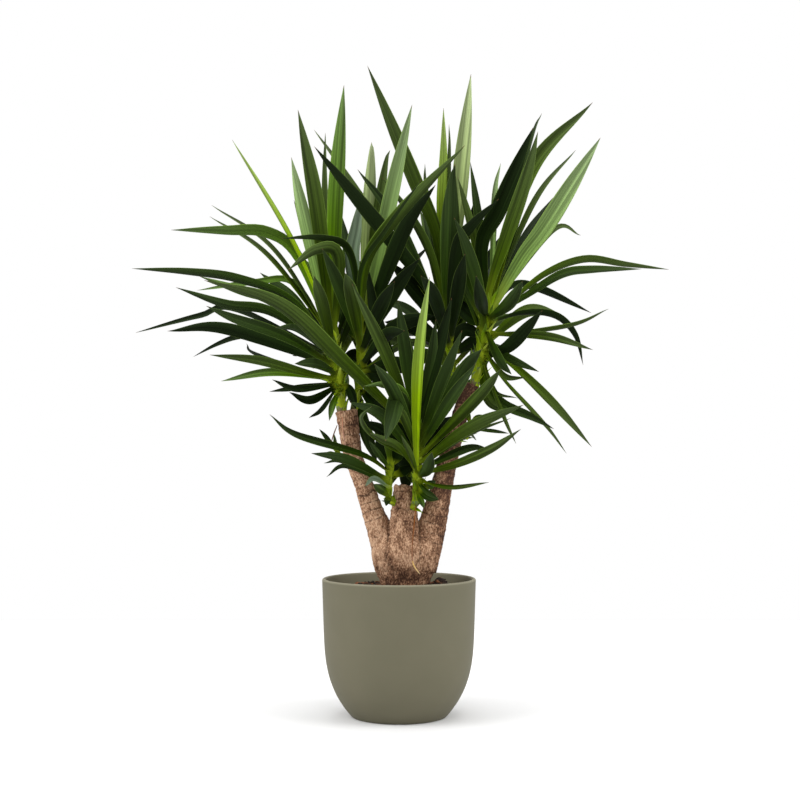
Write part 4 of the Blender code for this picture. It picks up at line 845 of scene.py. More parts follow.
        ([(0.060, 0.479), (0.051, 0.448)], -0.200, 0.20, 0.024, "dark"),
        ([(0.202, 0.719), (0.162, 0.674), (0.084, 0.601)], -0.120, 0.75, 0.018, "fresh"),
        ([(-0.053, 0.514), (-0.029, 0.502), (0.000, 0.487)], -0.240, 0.32, 0.015, "mid"),
        ([(0.004, 0.510), (0.020, 0.475)], -0.200, 0.25, 0.011, "mid"),
        ([(-0.049, 0.563), (-0.069, 0.540), (-0.045, 0.505)], -0.220, 0.42, 0.010, "mid"),
        ([(-0.025, 0.499), (-0.013, 0.541), (0.002, 0.574)], -0.240, 0.65, 0.034, "dark"),
        ([(-0.020, 0.590), (0.010, 0.540)], -0.160, 0.55, 0.016, "mid"),
        ([(-0.356, 0.792), (-0.216, 0.746), (-0.098, 0.638)], -0.160, 0.85, 0.030, "mid"),
        ([(-0.086, 0.786), (-0.020, 0.650)], -0.140, 0.90, 0.024, "mid"),
        ([(-0.060, 0.825), (-0.035, 0.700)], -0.040, 0.92, 0.025, "deep"),
        ([(-0.002, 0.756), (0.015, 0.640)], -0.080, 0.95, 0.026, "dark"),
        ([(0.115, 0.701), (0.075, 0.600)], -0.160, 0.70, 0.024, "dark"),
        ([(0.096, 0.760), (0.065, 0.640)], -0.020, 0.88, 0.025, "deep"),
        ([(0.020, 0.690), (0.022, 0.620)], -0.050, 0.80, 0.026, "dark"),
        ([(0.140, 0.640), (0.090, 0.570)], -0.260, 0.60, 0.024, "dark"),
        ([(-0.090, 0.570), (-0.030, 0.545)], -0.200, 0.50, 0.023, "dark"),
        ([(-0.045, 0.640), (-0.010, 0.590)], -0.260, 0.70, 0.026, "dark"),
        ([(0.151, 0.667), (0.115, 0.623)], -0.060, 0.60, 0.030, "dark"),
        ([(-0.020, 0.414), (-0.002, 0.460)], 0.040, 0.15, 0.034, "deep"),
        ([(-0.045, 0.479), (-0.009, 0.501)], 0.020, 0.40, 0.034, "deep"),
        ([(0.010, 0.404), (0.018, 0.450)], 0.050, 0.05, 0.032, "deep"),
        ([(-0.038, 0.636), (-0.002, 0.577)], 0.020, 0.60, 0.028, "deep"),
        ([(0.096, 0.610), (0.064, 0.570)], 0.040, 0.60, 0.028, "deep"),
        ([(0.027, 0.643), (0.029, 0.585)], 0.060, 0.80, 0.028, "dark"),
        ([(-0.071, 0.537), (-0.020, 0.512)], -0.020, 0.40, 0.024, "deep"),
        ([(0.136, 0.530), (0.085, 0.519)], 0.020, 0.40, 0.024, "dark"),
        ([(0.116, 0.545), (0.072, 0.515)], 0.040, 0.45, 0.034, "deep"),
        ([(0.022, 0.560), (0.024, 0.515)], 0.060, 0.40, 0.034, "deep"),
        ([(-0.022, 0.560), (0.005, 0.510)], 0.045, 0.45, 0.034, "deep"),
        ([(0.045, 0.377), (0.040, 0.390)], -0.090, 0.00, 0.012, "fresh"),
        ([(0.073, 0.392), (0.053, 0.397)], -0.100, 0.02, 0.014, "dark"),
        ([(0.067, 0.427), (0.049, 0.416)], -0.050, 0.05, 0.018, "dark"),
    ],
    "low_left_shoot": [
        ([(-0.236, 0.548), (-0.187, 0.510), (-0.067, 0.474)], -0.140, 0.80, 0.015, "dark"),
        ([(-0.160, 0.477), (-0.094, 0.466)], -0.180, 0.55, 0.018, "dark"),
        ([(-0.137, 0.459), (-0.100, 0.461)], -0.120, 0.50, 0.010, "dark"),
        ([(-0.132, 0.434), (-0.096, 0.453)], -0.120, 0.42, 0.010, "dark"),
        ([(-0.024, 0.520), (-0.020, 0.490)], -0.100, 1.00, 0.014, "mid"),
        ([(-0.055, 0.500), (-0.038, 0.475)], -0.130, 0.90, 0.012, "dark"),
        ([(-0.062, 0.417), (-0.045, 0.430)], -0.160, 0.35, 0.011, "grey_sheen"),
        ([(-0.040, 0.508), (-0.027, 0.468)], -0.020, 0.85, 0.024, "deep"),
        ([(0.005, 0.505), (-0.005, 0.468)], -0.010, 0.95, 0.024, "deep"),
        ([(0.022, 0.454), (0.005, 0.443)], -0.010, 0.70, 0.020, "deep"),
        ([(-0.047, 0.421), (-0.027, 0.407)], -0.060, 0.02, 0.018, "mid"),
        ([(-0.024, 0.381), (-0.020, 0.394)], -0.060, 0.00, 0.014, "dark"),
    ],
    "low_right_shoot": [
        ([(0.158, 0.546), (0.140, 0.540)], -0.030, 0.90, 0.008, "fresh"),
        ([(0.200, 0.513), (0.155, 0.518)], -0.030, 0.70, 0.007, "dark"),
        ([(0.122, 0.562), (0.126, 0.540)], -0.040, 1.00, 0.010, "dark"),
    ],
    "cane_shoot": [
        ([(-0.145, 0.521), (-0.125, 0.495)], -0.020, 1.00, 0.009, "dark"),
        ([(-0.118, 0.512), (-0.114, 0.492)], -0.040, 1.00, 0.007, "mid"),
        ([(-0.140, 0.474), (-0.125, 0.476)], -0.040, 0.80, 0.007, "dark"),
    ],
}


def seen(x, z, y):
    """The point at depth y that shows at x, z on the upright plane through the pot's axis."""
    on_plane = Vector((x, 0, z))
    return EYE + (on_plane - EYE) * (1.0 + y / -EYE.y)


def width_share(place):
    for (start, before), (stop, after) in zip(BLADE_OUTLINE, BLADE_OUTLINE[1:]):
        if place <= stop:
            return before + (after - before) * (place - start) / (stop - start)
    return 0.0


class Blade:
    """One sword leaf: its path, its width and how far its face is turned from the viewer."""

    def __init__(self, points, shown, stem_way, steps, tone):
        self.points = points
        self.steps = steps
        length = sum((two - one).length for one, two in zip(points, points[1:]))
        if length < SHORT_BLADE:
            self.steps = SHORT_BLADE_STEPS
        natural = min(max(length * WIDTH_PER_LENGTH, NARROWEST), BROADEST)
        self.length = length
        self.width = max(natural, shown)
        self.turn = acos(shown / self.width)
        self.stem_way = stem_way
        self.tone = tone
        before, middle, after = smooth_path(points, [0.45, 0.5, 0.55])
        ahead = (after - before).normalized()
        full = self.full_view(middle, ahead)
        self.towards = 1 if full.dot(self.grown_way(ahead)) >= 0 else -1
        self.leaning = 1 if ahead.cross(full).dot(self.grown_way(ahead)) >= 0 else -1

    def solid(self, margin=0.0):
        """Vertices and triangles: a shallow V across, drawn out to a point."""
        path = smooth_path(self.points, self.steps)
        verts = []
        for place, (step, point) in enumerate(zip(self.steps[:-1], path)):
            ahead = (path[place + 1] - path[max(place - 1, 0)]).normalized()
            face = self.face_way(point, ahead)
            side = ahead.cross(face)
            half = self.width / 2 * width_share(step) + margin
            edge = face * BLADE_CHANNEL * 2 * half
            thick = face * (BLADE_THICKNESS / 2 + margin)
            verts += [point - side * half + edge, point + thick, point + side * half + edge, point - thick]
        tip = len(verts)
        verts.append(path[-1] + (path[-1] - path[-2]).normalized() * margin)
        faces = [(0, 2, 1), (0, 3, 2)]
        last = tip - 4
        for low in range(0, last, 4):
            high = low + 4
            for one, two in ((0, 1), (1, 2)):
                faces += [(low + one, low + two, high + two), (low + one, high + two, high + one)]
            for one, two in ((0, 3), (3, 2)):
                faces += [(low + one, high + two, low + two), (low + one, high + one, high + two)]
        faces += [(last, last + 1, tip), (last + 1, last + 2, tip),
                  (last, tip, last + 3), (last + 3, tip, last + 2)]
        return verts, faces

    def grown_way(self, ahead):
        """The upper face's normal as the leaf grows, towards its stem."""
        outward = Vector((ahead.x, ahead.y, 0))
        grown = self.stem_way - outward * LEAF_LEAN
        return (grown - ahead * grown.dot(ahead)).normalized()

    def full_view(self, point, ahead):
        """The normal that would show the blade's whole width to the eye."""
        eye_way = EYE - point
        return (eye_way - ahead * eye_way.dot(ahead)).normalized()

    def face_way(self, point, ahead):
        """The upper face's normal, turned out of full view by the width that shows."""
        full = self.full_view(point, ahead)
        edge_on = ahead.cross(full)
        return full * self.towards * cos(self.turn) + edge_on * self.leaning * sin(self.turn)


def tree_of(verts, faces):
    return BVHTree.FromPolygons(verts, faces)


def is_clear(blade, obstacles):
    own = tree_of(*blade.solid(CLEARANCE))
    return not any(own.overlap(other) for other in obstacles)


def nudges(step, most):
    """0, then ever larger steps to either side."""
    yield 0.0
    for count in range(1, round(most / step) + 1):
        yield count * step
        yield -count * step


def stem_path(head):
    points = [Vector(point) for point in head["stem"]]
    return smooth_path(points, [step / STEM_STEPS for step in range(STEM_STEPS + 1)])


def stem_body(head):
    points = stem_path(head)[::STEM_STEPS // STEM_RINGS]
    radii = [head["radius"] * (1.0 - STEM_TAPER * place / STEM_RINGS) for place in range(len(points))]
    verts, faces = closed_loft(rings_along(points, radii, STEM_SIDES))
    return verts, faces


def root_on(path, place):
    """The point on a stem's axis, between where it leaves the trunk and its top."""
    spot = LEAVES_TRUNK + (len(path) - 1 - LEAVES_TRUNK) * place
    low = min(int(spot), len(path) - 2)
    return path[low].lerp(path[low + 1], spot - low)


def scattered(point, draw):
    """A root a little off the stem's axis, so that no two leaves start in one point."""
    return point + Vector([draw.uniform(-ROOT_SCATTER, ROOT_SCATTER) for _ in range(3)])


def set_leaf(path, row, draw, obstacles):
    """A leaf of the tables. Where another head is in its way, it bends back or forward clear."""
    shown_at, depth, place, shown, tone = row
    root = scattered(root_on(path, place), draw)
    stem_way = (path[-1] - path[-3]).normalized()
    for nudge in nudges(TIP_DEPTH_STEP, TIP_DEPTH_MOST):
        tip_depth = depth + nudge
        count = len(shown_at)
        points = [root]
        for order in range(count - 1, -1, -1):
            x, z = shown_at[order]
            along = (count - order) / count
            points.append(seen(x, z, root.y + (tip_depth - root.y) * along ** 0.8))
        steps = BENT_BLADE_STEPS if count > 2 else BLADE_STEPS
        blade = Blade(points, shown * (1.0 + tip_depth / -EYE.y), stem_way, steps, tone)
        if is_clear(blade, obstacles):
            return blade
    return None


def grow_leaf(path, head, order, draw, obstacles):
    """A leaf of the spiral behind a head: low ones short and level, high ones upright."""
    youth = order / head["back_leaves"]
    place = BACK_LOWEST + (1.0 - BACK_LOWEST) * youth
    spread = BACK_SPREAD[0] + (BACK_SPREAD[1] - BACK_SPREAD[0]) * youth
    heading = radians(90 + spread * sin(order * GOLDEN_ANGLE))
    rise = radians(BACK_RISE[0] + (BACK_RISE[1] - BACK_RISE[0]) * youth ** 0.9 + draw.uniform(-5, 5))
    length = head["back_length"] * (0.72 + 0.28 * sin(pi * (0.2 + 0.8 * youth))) * draw.uniform(0.9, 1.05)
    shown = length * WIDTH_PER_LENGTH * draw.uniform(*BACK_SHOWN)
    root = scattered(root_on(path, place), draw)
    stem_way = (path[-1] - path[-3]).normalized()
    for nudge in nudges(radians(3), radians(24)):
        for lift in (0, 6, -6, 12, 18):
            steepness = rise + radians(lift)
            level = Vector((cos(heading + nudge), sin(heading + nudge), 0))
            way = level * cos(steepness) + Vector((0, 0, 1)) * sin(steepness)
            sag = Vector((0, 0, -1)) * length * BACK_SAG * cos(rise)
            points = [root, root + way * length * 0.52 - sag * 0.25, root + way * length + sag]
            blade = Blade(points, shown, stem_way, SHORT_BLADE_STEPS,
                          BACK_TONES[order % len(BACK_TONES)])
            if is_clear(blade, obstacles):
                return blade
    return None


def lay_out_heads():
    """Place the leaves clear of the trunk and of the other heads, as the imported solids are."""
    solid_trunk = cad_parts["trunk"].data
    wood = tree_of([vert.co.copy() for vert in solid_trunk.vertices],
                   [tuple(face.vertices) for face in solid_trunk.polygons])
    paths = {name: stem_path(head) for name, head in HEADS.items()}
    taken = {name: [tree_of(*stem_body(head))] for name, head in HEADS.items()}
    blades = {name: [] for name in HEADS}

    def obstacles_of(name):
        return [wood] + [tree for other in HEADS if other != name for tree in taken[other]]

    def take(name, blade):
        if blade:
            blades[name].append(blade)
            taken[name].append(tree_of(*blade.solid()))

    for name, head in HEADS.items():
        draw = Random(head["seed"])
        for row in LEAVES[name]:
            take(name, set_leaf(paths[name], row, draw, obstacles_of(name)))
    for name, head in HEADS.items():
        draw = Random(head["seed"])
        for order in range(head["back_leaves"]):
            take(name, grow_leaf(paths[name], head, order, draw, obstacles_of(name)))
    return blades


# the leaf as it is seen: stations along it, and what each station carries
LEAF_STATIONS = 34
LEAF_END = 0.997            # of the blade's length, so that the tip's own thickness stays inside it
CLASP_LENGTH = 0.017        # metres that the base runs down the stem
CLASP_WRAP = 0.85           # how far the base curls round the stem
NECK_LENGTH = 0.030         # metres over which the base opens into the flat blade
LEAF_SECTION_POINTS = 14
LEAF_THICKNESS = 0.0016
TIP_RADIUS = 0.0002
SHEATH_SPACING = 0.0050     # metres of stem between one old leaf base and the next
SHEATH_FOOT = 0.04          # the sheaths' places on the stem, from its buried foot to its top
SHEATH_TOP = 0.92
SHEATH_LENGTH = (0.026, 0.050)
SHEATH_FLARE = 0.30
SHEATH_STATIONS = 9
SHEATH_TONES = ("#7A961C", "#3C5612", "#8C9C3A", "#516C16")
STRAND_HALF_WIDTH = 0.0011
# dry strands, which hang in front of the bark
STRANDS = {
    "front_head": [([(0.0300, -0.046, 0.384), (0.0270, -0.049, 0.350), (0.0235, -0.048, 0.310),
                     (0.0240, -0.052, 0.283)], "#96582F"),
                   ([(0.0240, -0.052, 0.285), (0.0280, -0.053, 0.274), (0.0370, -0.053, 0.262)],
                    "#C8A564")],
    "left_head": [([(-0.1020, -0.014, 0.543), (-0.1015, -0.017, 0.520), (-0.0985, -0.016, 0.500),
                    (-0.0960, -0.015, 0.487)], "#B5806A"),
                  ([(-0.1120, -0.008, 0.528), (-0.1180, -0.010, 0.512), (-0.1235, -0.010, 0.494)],
                   "#6A4028")],
}


def eased(share):
    share = min(max(share, 0.0), 1.0)
    return share * share * (3 - 2 * share)


def outline_share(place):
    """The blade's half width as a share of its widest, smooth along the outline's points."""
    near = [min(max(place + offset, 0.0), 1.0) for offset in (-0.05, -0.025, 0.0, 0.025, 0.05)]
    blended = sum(width_share(spot) for spot in near) / len(near)
    towards_tip = eased((place - 0.85) / 0.1)
    return blended * (1 - towards_tip) + width_share(place) * towards_tip


def leaf_stations(blade, head, path, chance):
    """Rows of centre, side, face, half width, curl and place along, from the clasping base on."""
    steps = [LEAF_END * (number / LEAF_STATIONS) ** 1.15 for number in range(LEAF_STATIONS + 1)]
    line = smooth_path(blade.points, steps)
    near = min(range(len(path)), key=lambda at: (path[at] - line[0]).length)
    stem_ahead = (path[min(near + 1, len(path) - 1)] - path[max(near - 1, 0)]).normalized()
    first = (line[3] - line[0]).normalized()
    out = first - stem_ahead * first.dot(stem_ahead)
    if out.length < 0.2:
        out = Vector((cos(chance * tau), sin(chance * tau), 0))
        out -= stem_ahead * out.dot(stem_ahead)
    out.normalize()
    grip = head["radius"] * 0.95
    clasp_half = min(grip * 1.35, blade.width * 0.5)
    rows = []
    for below in (1.0, 0.66, 0.33):
        centre = line[0] + out * grip - stem_ahead * CLASP_LENGTH * below
        rows.append([centre, -out, clasp_half * (1.05 - 0.25 * below), CLASP_WRAP, -0.02 * below])
    for number, (step, point) in enumerate(zip(steps, line)):
        reach = step * blade.length
        open_share = eased(reach / NECK_LENGTH)
        ahead = (line[min(number + 1, len(line) - 1)] - line[max(number - 1, 0)]).normalized()
        face = blade.face_way(point, ahead)
        hold = -out - ahead * (-out).dot(ahead)
        if hold.length < 0.3:
            hold = face
        turned = (hold.normalized() * (1 - open_share) + face * open_share)
        turned = turned - ahead * turned.dot(ahead)
        turned = turned.normalized() if turned.length > 0.05 else face
        half = max(blade.width / 2 * outline_share(step), TIP_RADIUS)
        half = clasp_half * (1 - open_share) + half * open_share
        curl = CLASP_WRAP * (1 - open_share) + BLADE_CHANNEL * 2 * open_share
        centre = point + out * grip * (1 - open_share)
        rows.append([centre, turned, half, curl, step])
    return framed(rows)


def framed(rows):
    """Rows of centre, face, half width, curl and place along as stations with a side of their own."""
    stations = []
    for number, (centre, face, half, curl, step) in enumerate(rows):
        ahead = (rows[min(number + 1, len(rows) - 1)][0] - rows[max(number - 1, 0)][0]).normalized()
        side = ahead.cross(face).normalized()
        stations.append((centre, side, side.cross(ahead).normalized(), half, curl, step))
    return stations


def sheath_count(head):
    points = [Vector(point) for point in head["stem"]]
    return round(sum((two - one).length for one, two in zip(points, points[1:])) / SHEATH_SPACING)


def sheath_stations(head, order, chance):
    """A short leaf base that clasps the stem and stands off it towards its point."""
    foot = SHEATH_FOOT + (SHEATH_TOP - SHEATH_FOOT) * order / sheath_count(head)
    points = [Vector(point) for point in head["stem"]]
    low, root, high = smooth_path(points, [max(foot - 0.02, 0.0), foot, foot + 0.02])
    ahead = (high - low).normalized()
    turn = order * GOLDEN_ANGLE
    side = Vector((0, 1, 0)).cross(ahead).normalized()
    out = side * cos(turn) + ahead.cross(side) * sin(turn)
    radius = head["radius"] * (1.0 - STEM_TAPER * foot)
    length = (SHEATH_LENGTH[0] + (SHEATH_LENGTH[1] - SHEATH_LENGTH[0]) * chance) * head["radius"] / 0.009
    rows = []
    for number in range(SHEATH_STATIONS + 1):
        step = number / SHEATH_STATIONS
        centre = root + ahead * length * step + out * (radius * 1.08 + SHEATH_FLARE * length * step * step)
        face = (-out + ahead * 2 * SHEATH_FLARE * step).normalized()
        half = max(radius * 1.1 * (1.0 - step ** 1.6), TIP_RADIUS)
        rows.append((centre, face, half, CLASP_WRAP * (1 - 0.6 * step), 0.6 * step))
    return framed(rows)


def strand_stations(points):
    """A dry, hair-thin strip of old leaf through the given points."""
    line = smooth_path([Vector(point) for point in points], [number / 24 for number in range(25)])
    rows = []
    for number, point in enumerate(line):
        ahead = (line[min(number + 1, 24)] - line[max(number - 1, 0)]).normalized()
        face = Vector((0, -1, 0)) + ahead * ahead.y
        half = STRAND_HALF_WIDTH * (0.55 + 0.45 * sin(pi * number / 24))
        rows.append((point, face.normalized(), half, 0.3, 0.3 + 0.6 * number / 24))
    return framed(rows)


def leaf_lines(name, blades, head, path):
    """All leaves of a head as open lines, which carry the sizes that the sweep needs."""
    draw = Random(head["seed"] + 1000)
    spots = []
    edges = []
    carried = {"side": [], "face": [], "half_width": [], "curl": [], "along": [], "reach": [],
               "chance": [], "tone": []}
    grown = []
    for blade in blades:
        chance = draw.random()
        grown.append((leaf_stations(blade, head, path, chance), blade.length, TONES[blade.tone], chance))
    for order in range(sheath_count(head)):
        chance = draw.random()
        grown.append((sheath_stations(head, order, chance), SHEATH_LENGTH[1],
                      SHEATH_TONES[order % len(SHEATH_TONES)], chance))
    for points, tone in STRANDS.get(name, []):
        grown.append((strand_stations(points), 1.0, tone, draw.random()))
    for stations, length, tone, chance in grown:
        start = len(spots)
        edges += [(start + number, start + number + 1) for number in range(len(stations) - 1)]
        for centre, side, face, half, curl, step in stations:
            spots.append(centre)
            for key, value in (("side", side), ("face", face), ("half_width", half), ("curl", curl),
                               ("along", step), ("reach", step * length), ("chance", chance),
                               ("tone", from_hex(tone))):
                carried[key].append(value)
    mesh = bpy.data.meshes.new(name)
    mesh.from_pydata(spots, edges, [])
    for key, values in carried.items():
        kind, field = {3: ("FLOAT_VECTOR", "vector"), 4: ("FLOAT_COLOR", "color")}.get(
            len(values[0]) if hasattr(values[0], "__len__") else 1, ("FLOAT", "value"))
        attribute = mesh.attributes.new(key, kind, "POINT")
        attribute.data.foreach_set(field, np.array([tuple(value) if hasattr(value, "__len__") else value
                                                    for value in values], float).ravel())
    return mesh


# Leaf sweep: a lens-shaped section is carried along each line, curled by the line's own sizes.
sweep, given, result = new_geometry_tree("leaf_sweep", [
    ("Section Points", "NodeSocketInt", 12), ("Thickness", "NodeSocketFloat", 0.0016),
    ("Material", "NodeSocketMaterial", None)])
lines = add_node(sweep, "GeometryNodeMeshToCurve", {"Mesh": given["Geometry"]})
here = add_node(sweep, "GeometryNodeInputPosition")
kept = add_node(sweep, "GeometryNodeStoreNamedAttribute", {
    "Geometry": lines.outputs[0], "Name": "centre", "Value": here.outputs[0]},
    data_type="FLOAT_VECTOR", domain="POINT")
ring = add_node(sweep, "GeometryNodeCurvePrimitiveCircle", {"Resolution": given["Section Points"],
                                                            "Radius": 1.0})
ring_place = add_node(sweep, "ShaderNodeSeparateXYZ", {0: here.outputs[0]})
ring_x = add_node(sweep, "GeometryNodeStoreNamedAttribute", {
    "Geometry": ring.outputs[0], "Name": "across", "Value": ring_place.outputs[0]},
    data_type="FLOAT", domain="POINT")
ring_xy = add_node(sweep, "GeometryNodeStoreNamedAttribute", {
    "Geometry": ring_x.outputs[0], "Name": "lift", "Value": ring_place.outputs[1]},
    data_type="FLOAT", domain="POINT")
swept = add_node(sweep, "GeometryNodeCurveToMesh", {
    "Curve": kept.outputs[0], "Profile Curve": ring_xy.outputs[0], "Fill Caps": True, "Scale": 0.001})
carried = {}
for key, kind in (("centre", "FLOAT_VECTOR"), ("side", "FLOAT_VECTOR"), ("face", "FLOAT_VECTOR"),
                  ("half_width", "FLOAT"), ("curl", "FLOAT"), ("across", "FLOAT"), ("lift", "FLOAT")):
    carried[key] = add_node(sweep, "GeometryNodeInputNamedAttribute", {"Name": key},
                            data_type=kind).outputs[0]
out_half = add_node(sweep, "ShaderNodeMath", {0: carried["across"], 1: carried["half_width"]},
                    operation="MULTIPLY")
away = add_node(sweep, "ShaderNodeMath", {0: carried["across"]}, operation="ABSOLUTE")
bowed = add_node(sweep, "ShaderNodeMath", {0: away.outputs[0], 1: 1.4}, operation="POWER")
edge_rise = add_node(sweep, "ShaderNodeMath", {0: bowed.outputs[0], 1: carried["curl"]},
                     operation="MULTIPLY")
edge_lift = add_node(sweep, "ShaderNodeMath", {0: edge_rise.outputs[0], 1: carried["half_width"]},
                     operation="MULTIPLY")
thin_tip = add_node(sweep, "ShaderNodeMapRange", {"Value": carried["half_width"], 1: 0.0, 2: 0.003,
                                                  3: 0.12, 4: 1.0})
plump = add_node(sweep, "ShaderNodeMath", {0: carried["lift"], 1: given["Thickness"]},
                 operation="MULTIPLY")
half_plump = add_node(sweep, "ShaderNodeMath", {0: plump.outputs[0], 1: 0.5}, operation="MULTIPLY")
tip_plump = add_node(sweep, "ShaderNodeMath", {0: half_plump.outputs[0], 1: thin_tip.outputs[0]},
                     operation="MULTIPLY")
rise = add_node(sweep, "ShaderNodeMath", {0: edge_lift.outputs[0], 1: tip_plump.outputs[0]},
                operation="ADD")
sideways = add_node(sweep, "ShaderNodeVectorMath", {0: carried["side"], "Scale": out_half.outputs[0]},
                    operation="SCALE")
upwards = add_node(sweep, "ShaderNodeVectorMath", {0: carried["face"], "Scale": rise.outputs[0]},
                   operation="SCALE")
middle = add_node(sweep, "ShaderNodeVectorMath", {0: carried["centre"], 1: sideways.outputs[0]},
                  operation="ADD")
surface = add_node(sweep, "ShaderNodeVectorMath", {0: middle.outputs[0], 1: upwards.outputs[0]},
                   operation="ADD")
placed = add_node(sweep, "GeometryNodeSetPosition", {"Geometry": swept.outputs[0],
                                                     "Position": surface.outputs[0]})
smooth = add_node(sweep, "GeometryNodeSetShadeSmooth", {"Geometry": placed.outputs[0]})
real = add_node(sweep, "GeometryNodeRealizeInstances", {"Geometry": smooth.outputs[0]})
named = add_node(sweep, "GeometryNodeSetMaterial", {"Geometry": real.outputs[0],
                                                    "Material": given["Material"]})
sweep.links.new(named.outputs[0], result.inputs[0])

# A living yucca leaf: thick waxy green skin with a soft gloss. One half of its shallow channel is painted lighter and
# the other darker, painted light and shade as if lit from one side; bands, partly painted sheen streaks, and fine ribs
# run along it; it is greyer towards its point; its margins are thin and pale on young leaves, and are painted a little
# lighter on all others as an edge highlight; its clasping base is yellow-green and its point is dry.
LEAF_BASE = "#93A51C"
LEAF_MARGIN_AND_HIGHLIGHT = "#8FAF4A"
LEAF_DRY = "#5F4630"
LEAF_BACK = "#5E7050"
RIB_SPACING = 0.0014        # metres; the real ribs stand about 1 mm apart, drawn coarser to show
BAND_SPACING = 0.0042
leaf, tree, shader = new_finish("yucca_leaf")
tone = add_node(tree, "ShaderNodeAttribute", attribute_name="tone").outputs["Color"]
along = add_node(tree, "ShaderNodeAttribute", attribute_name="along").outputs["Fac"]
across = add_node(tree, "ShaderNodeAttribute", attribute_name="across").outputs["Fac"]
lift = add_node(tree, "ShaderNodeAttribute", attribute_name="lift").outputs["Fac"]
chance = add_node(tree, "ShaderNodeAttribute", attribute_name="chance").outputs["Fac"]
half = add_node(tree, "ShaderNodeAttribute", attribute_name="half_width").outputs["Fac"]
reach = add_node(tree, "ShaderNodeAttribute", attribute_name="reach").outputs["Fac"]
metres_across = add_node(tree, "ShaderNodeMath", {0: across, 1: half}, operation="MULTIPLY")
own = add_node(tree, "ShaderNodeMath", {0: chance, 1: 40.0}, operation="MULTIPLY")


def streaks(spacing, run, detail):
    """Noise drawn out along the leaf, its streaks the given distance apart."""
    wide = add_node(tree, "ShaderNodeMath", {0: metres_across.outputs[0], 1: 1 / spacing},
                    operation="MULTIPLY")
    long = add_node(tree, "ShaderNodeMath", {0: along, 1: run}, operation="MULTIPLY")
    spot = add_node(tree, "ShaderNodeCombineXYZ", {0: wide.outputs[0], 1: long.outputs[0],
                                                   2: own.outputs[0]})
    return add_node(tree, "ShaderNodeTexNoise", {"Vector": spot.outputs[0], "Scale": 1.0,
                                                 "Detail": detail, "Roughness": 0.6}).outputs["Fac"]


ribs = streaks(RIB_SPACING, 2.2, 2.0)
bands = streaks(BAND_SPACING, 1.1, 1.0)
# painted light and shade: one half of the channel lighter, the other darker, as if lit from one side
swing = add_node(tree, "ShaderNodeMath", {0: chance, 1: 2.0, 2: -1.0}, operation="MULTIPLY_ADD")
lit_side = add_node(tree, "ShaderNodeMath", {0: across, 1: swing.outputs[0]}, operation="MULTIPLY")
painted_half_shade = add_node(tree, "ShaderNodeMapRange", {"Value": lit_side.outputs[0], 1: -0.06, 2: 0.06,
                                                  3: 0.70, 4: 1.16})
# lengthwise bands, partly real striping and partly painted sheen streaks
band_and_sheen_tone = add_node(tree, "ShaderNodeMapRange", {"Value": bands, 1: 0.34, 2: 0.66, 3: 0.66, 4: 1.26})
rib_tone = add_node(tree, "ShaderNodeMapRange", {"Value": ribs, 1: 0.3, 2: 0.7, 3: 0.78, 4: 1.22})
two_tones = add_node(tree, "ShaderNodeMath", {0: painted_half_shade.outputs[0], 1: band_and_sheen_tone.outputs[0]},
                     operation="MULTIPLY")
all_tones = add_node(tree, "ShaderNodeMath", {0: two_tones.outputs[0], 1: rib_tone.outputs[0]},
                     operation="MULTIPLY")
striped = add_node(tree, "ShaderNodeVectorMath", {0: tone, "Scale": all_tones.outputs[0]},
                   operation="SCALE")
# less saturated towards the tip
greyer_to_tip = add_node(tree, "ShaderNodeMapRange", {"Value": along, 1: 0.30, 2: 1.0, 3: 1.10, 4: 0.72})
greyed_to_tip = add_node(tree, "ShaderNodeHueSaturation", {"Saturation": greyer_to_tip.outputs[0],
                                                     "Color": striped.outputs[0]})
greenness = add_node(tree, "ShaderNodeSeparateColor", {0: tone})
youth = add_node(tree, "ShaderNodeMapRange", {"Value": greenness.outputs[1], 1: 0.015, 2: 0.14,
                                              3: 0.03, 4: 0.85})
base_share = add_node(tree, "ShaderNodeMapRange", {"Value": along, 1: 0.0, 2: 0.24, 3: 1.0, 4: 0.0})
young_base = add_node(tree, "ShaderNodeMath", {0: youth.outputs[0], 1: base_share.outputs[0]},
                      operation="MULTIPLY")
clasp = add_node(tree, "ShaderNodeMapRange", {"Value": reach, 1: 0.003, 2: 0.024, 3: 0.60, 4: 0.0})
basal = add_node(tree, "ShaderNodeMath", {0: young_base.outputs[0], 1: clasp.outputs[0]},
                 operation="MAXIMUM")
greened = add_node(tree, "ShaderNodeMix", {"Factor": basal.outputs[0], 6: greyed_to_tip.outputs[0],
                                           7: from_hex(LEAF_BASE)}, data_type="RGBA")
out = add_node(tree, "ShaderNodeMath", {0: across}, operation="ABSOLUTE")
margin = add_node(tree, "ShaderNodeMapRange", {"Value": out.outputs[0], 1: 0.90, 2: 0.96, 3: 0.0, 4: 0.45})
# young leaves get their full pale margin; on the others a quarter of it stays as a painted edge highlight
edge_share = add_node(tree, "ShaderNodeMapRange", {"Value": youth.outputs[0], 3: 0.25, 4: 1.0})
margin_and_highlight = add_node(tree, "ShaderNodeMath", {0: margin.outputs[0], 1: edge_share.outputs[0]},
                        operation="MULTIPLY")
edged = add_node(tree, "ShaderNodeMix", {"Factor": margin_and_highlight.outputs[0], 6: greened.outputs[2],
                                         7: from_hex(LEAF_MARGIN_AND_HIGHLIGHT)}, data_type="RGBA")
back = add_node(tree, "ShaderNodeMapRange", {"Value": lift, 1: 0.02, 2: -0.02, 3: 0.0, 4: 0.03})
backed = add_node(tree, "ShaderNodeMix", {"Factor": back.outputs[0], 6: edged.outputs[2],
                                          7: from_hex(LEAF_BACK)}, data_type="RGBA")
dry = add_node(tree, "ShaderNodeMapRange", {"Value": along, 1: 0.978, 2: 0.992, 3: 0.0, 4: 0.9})
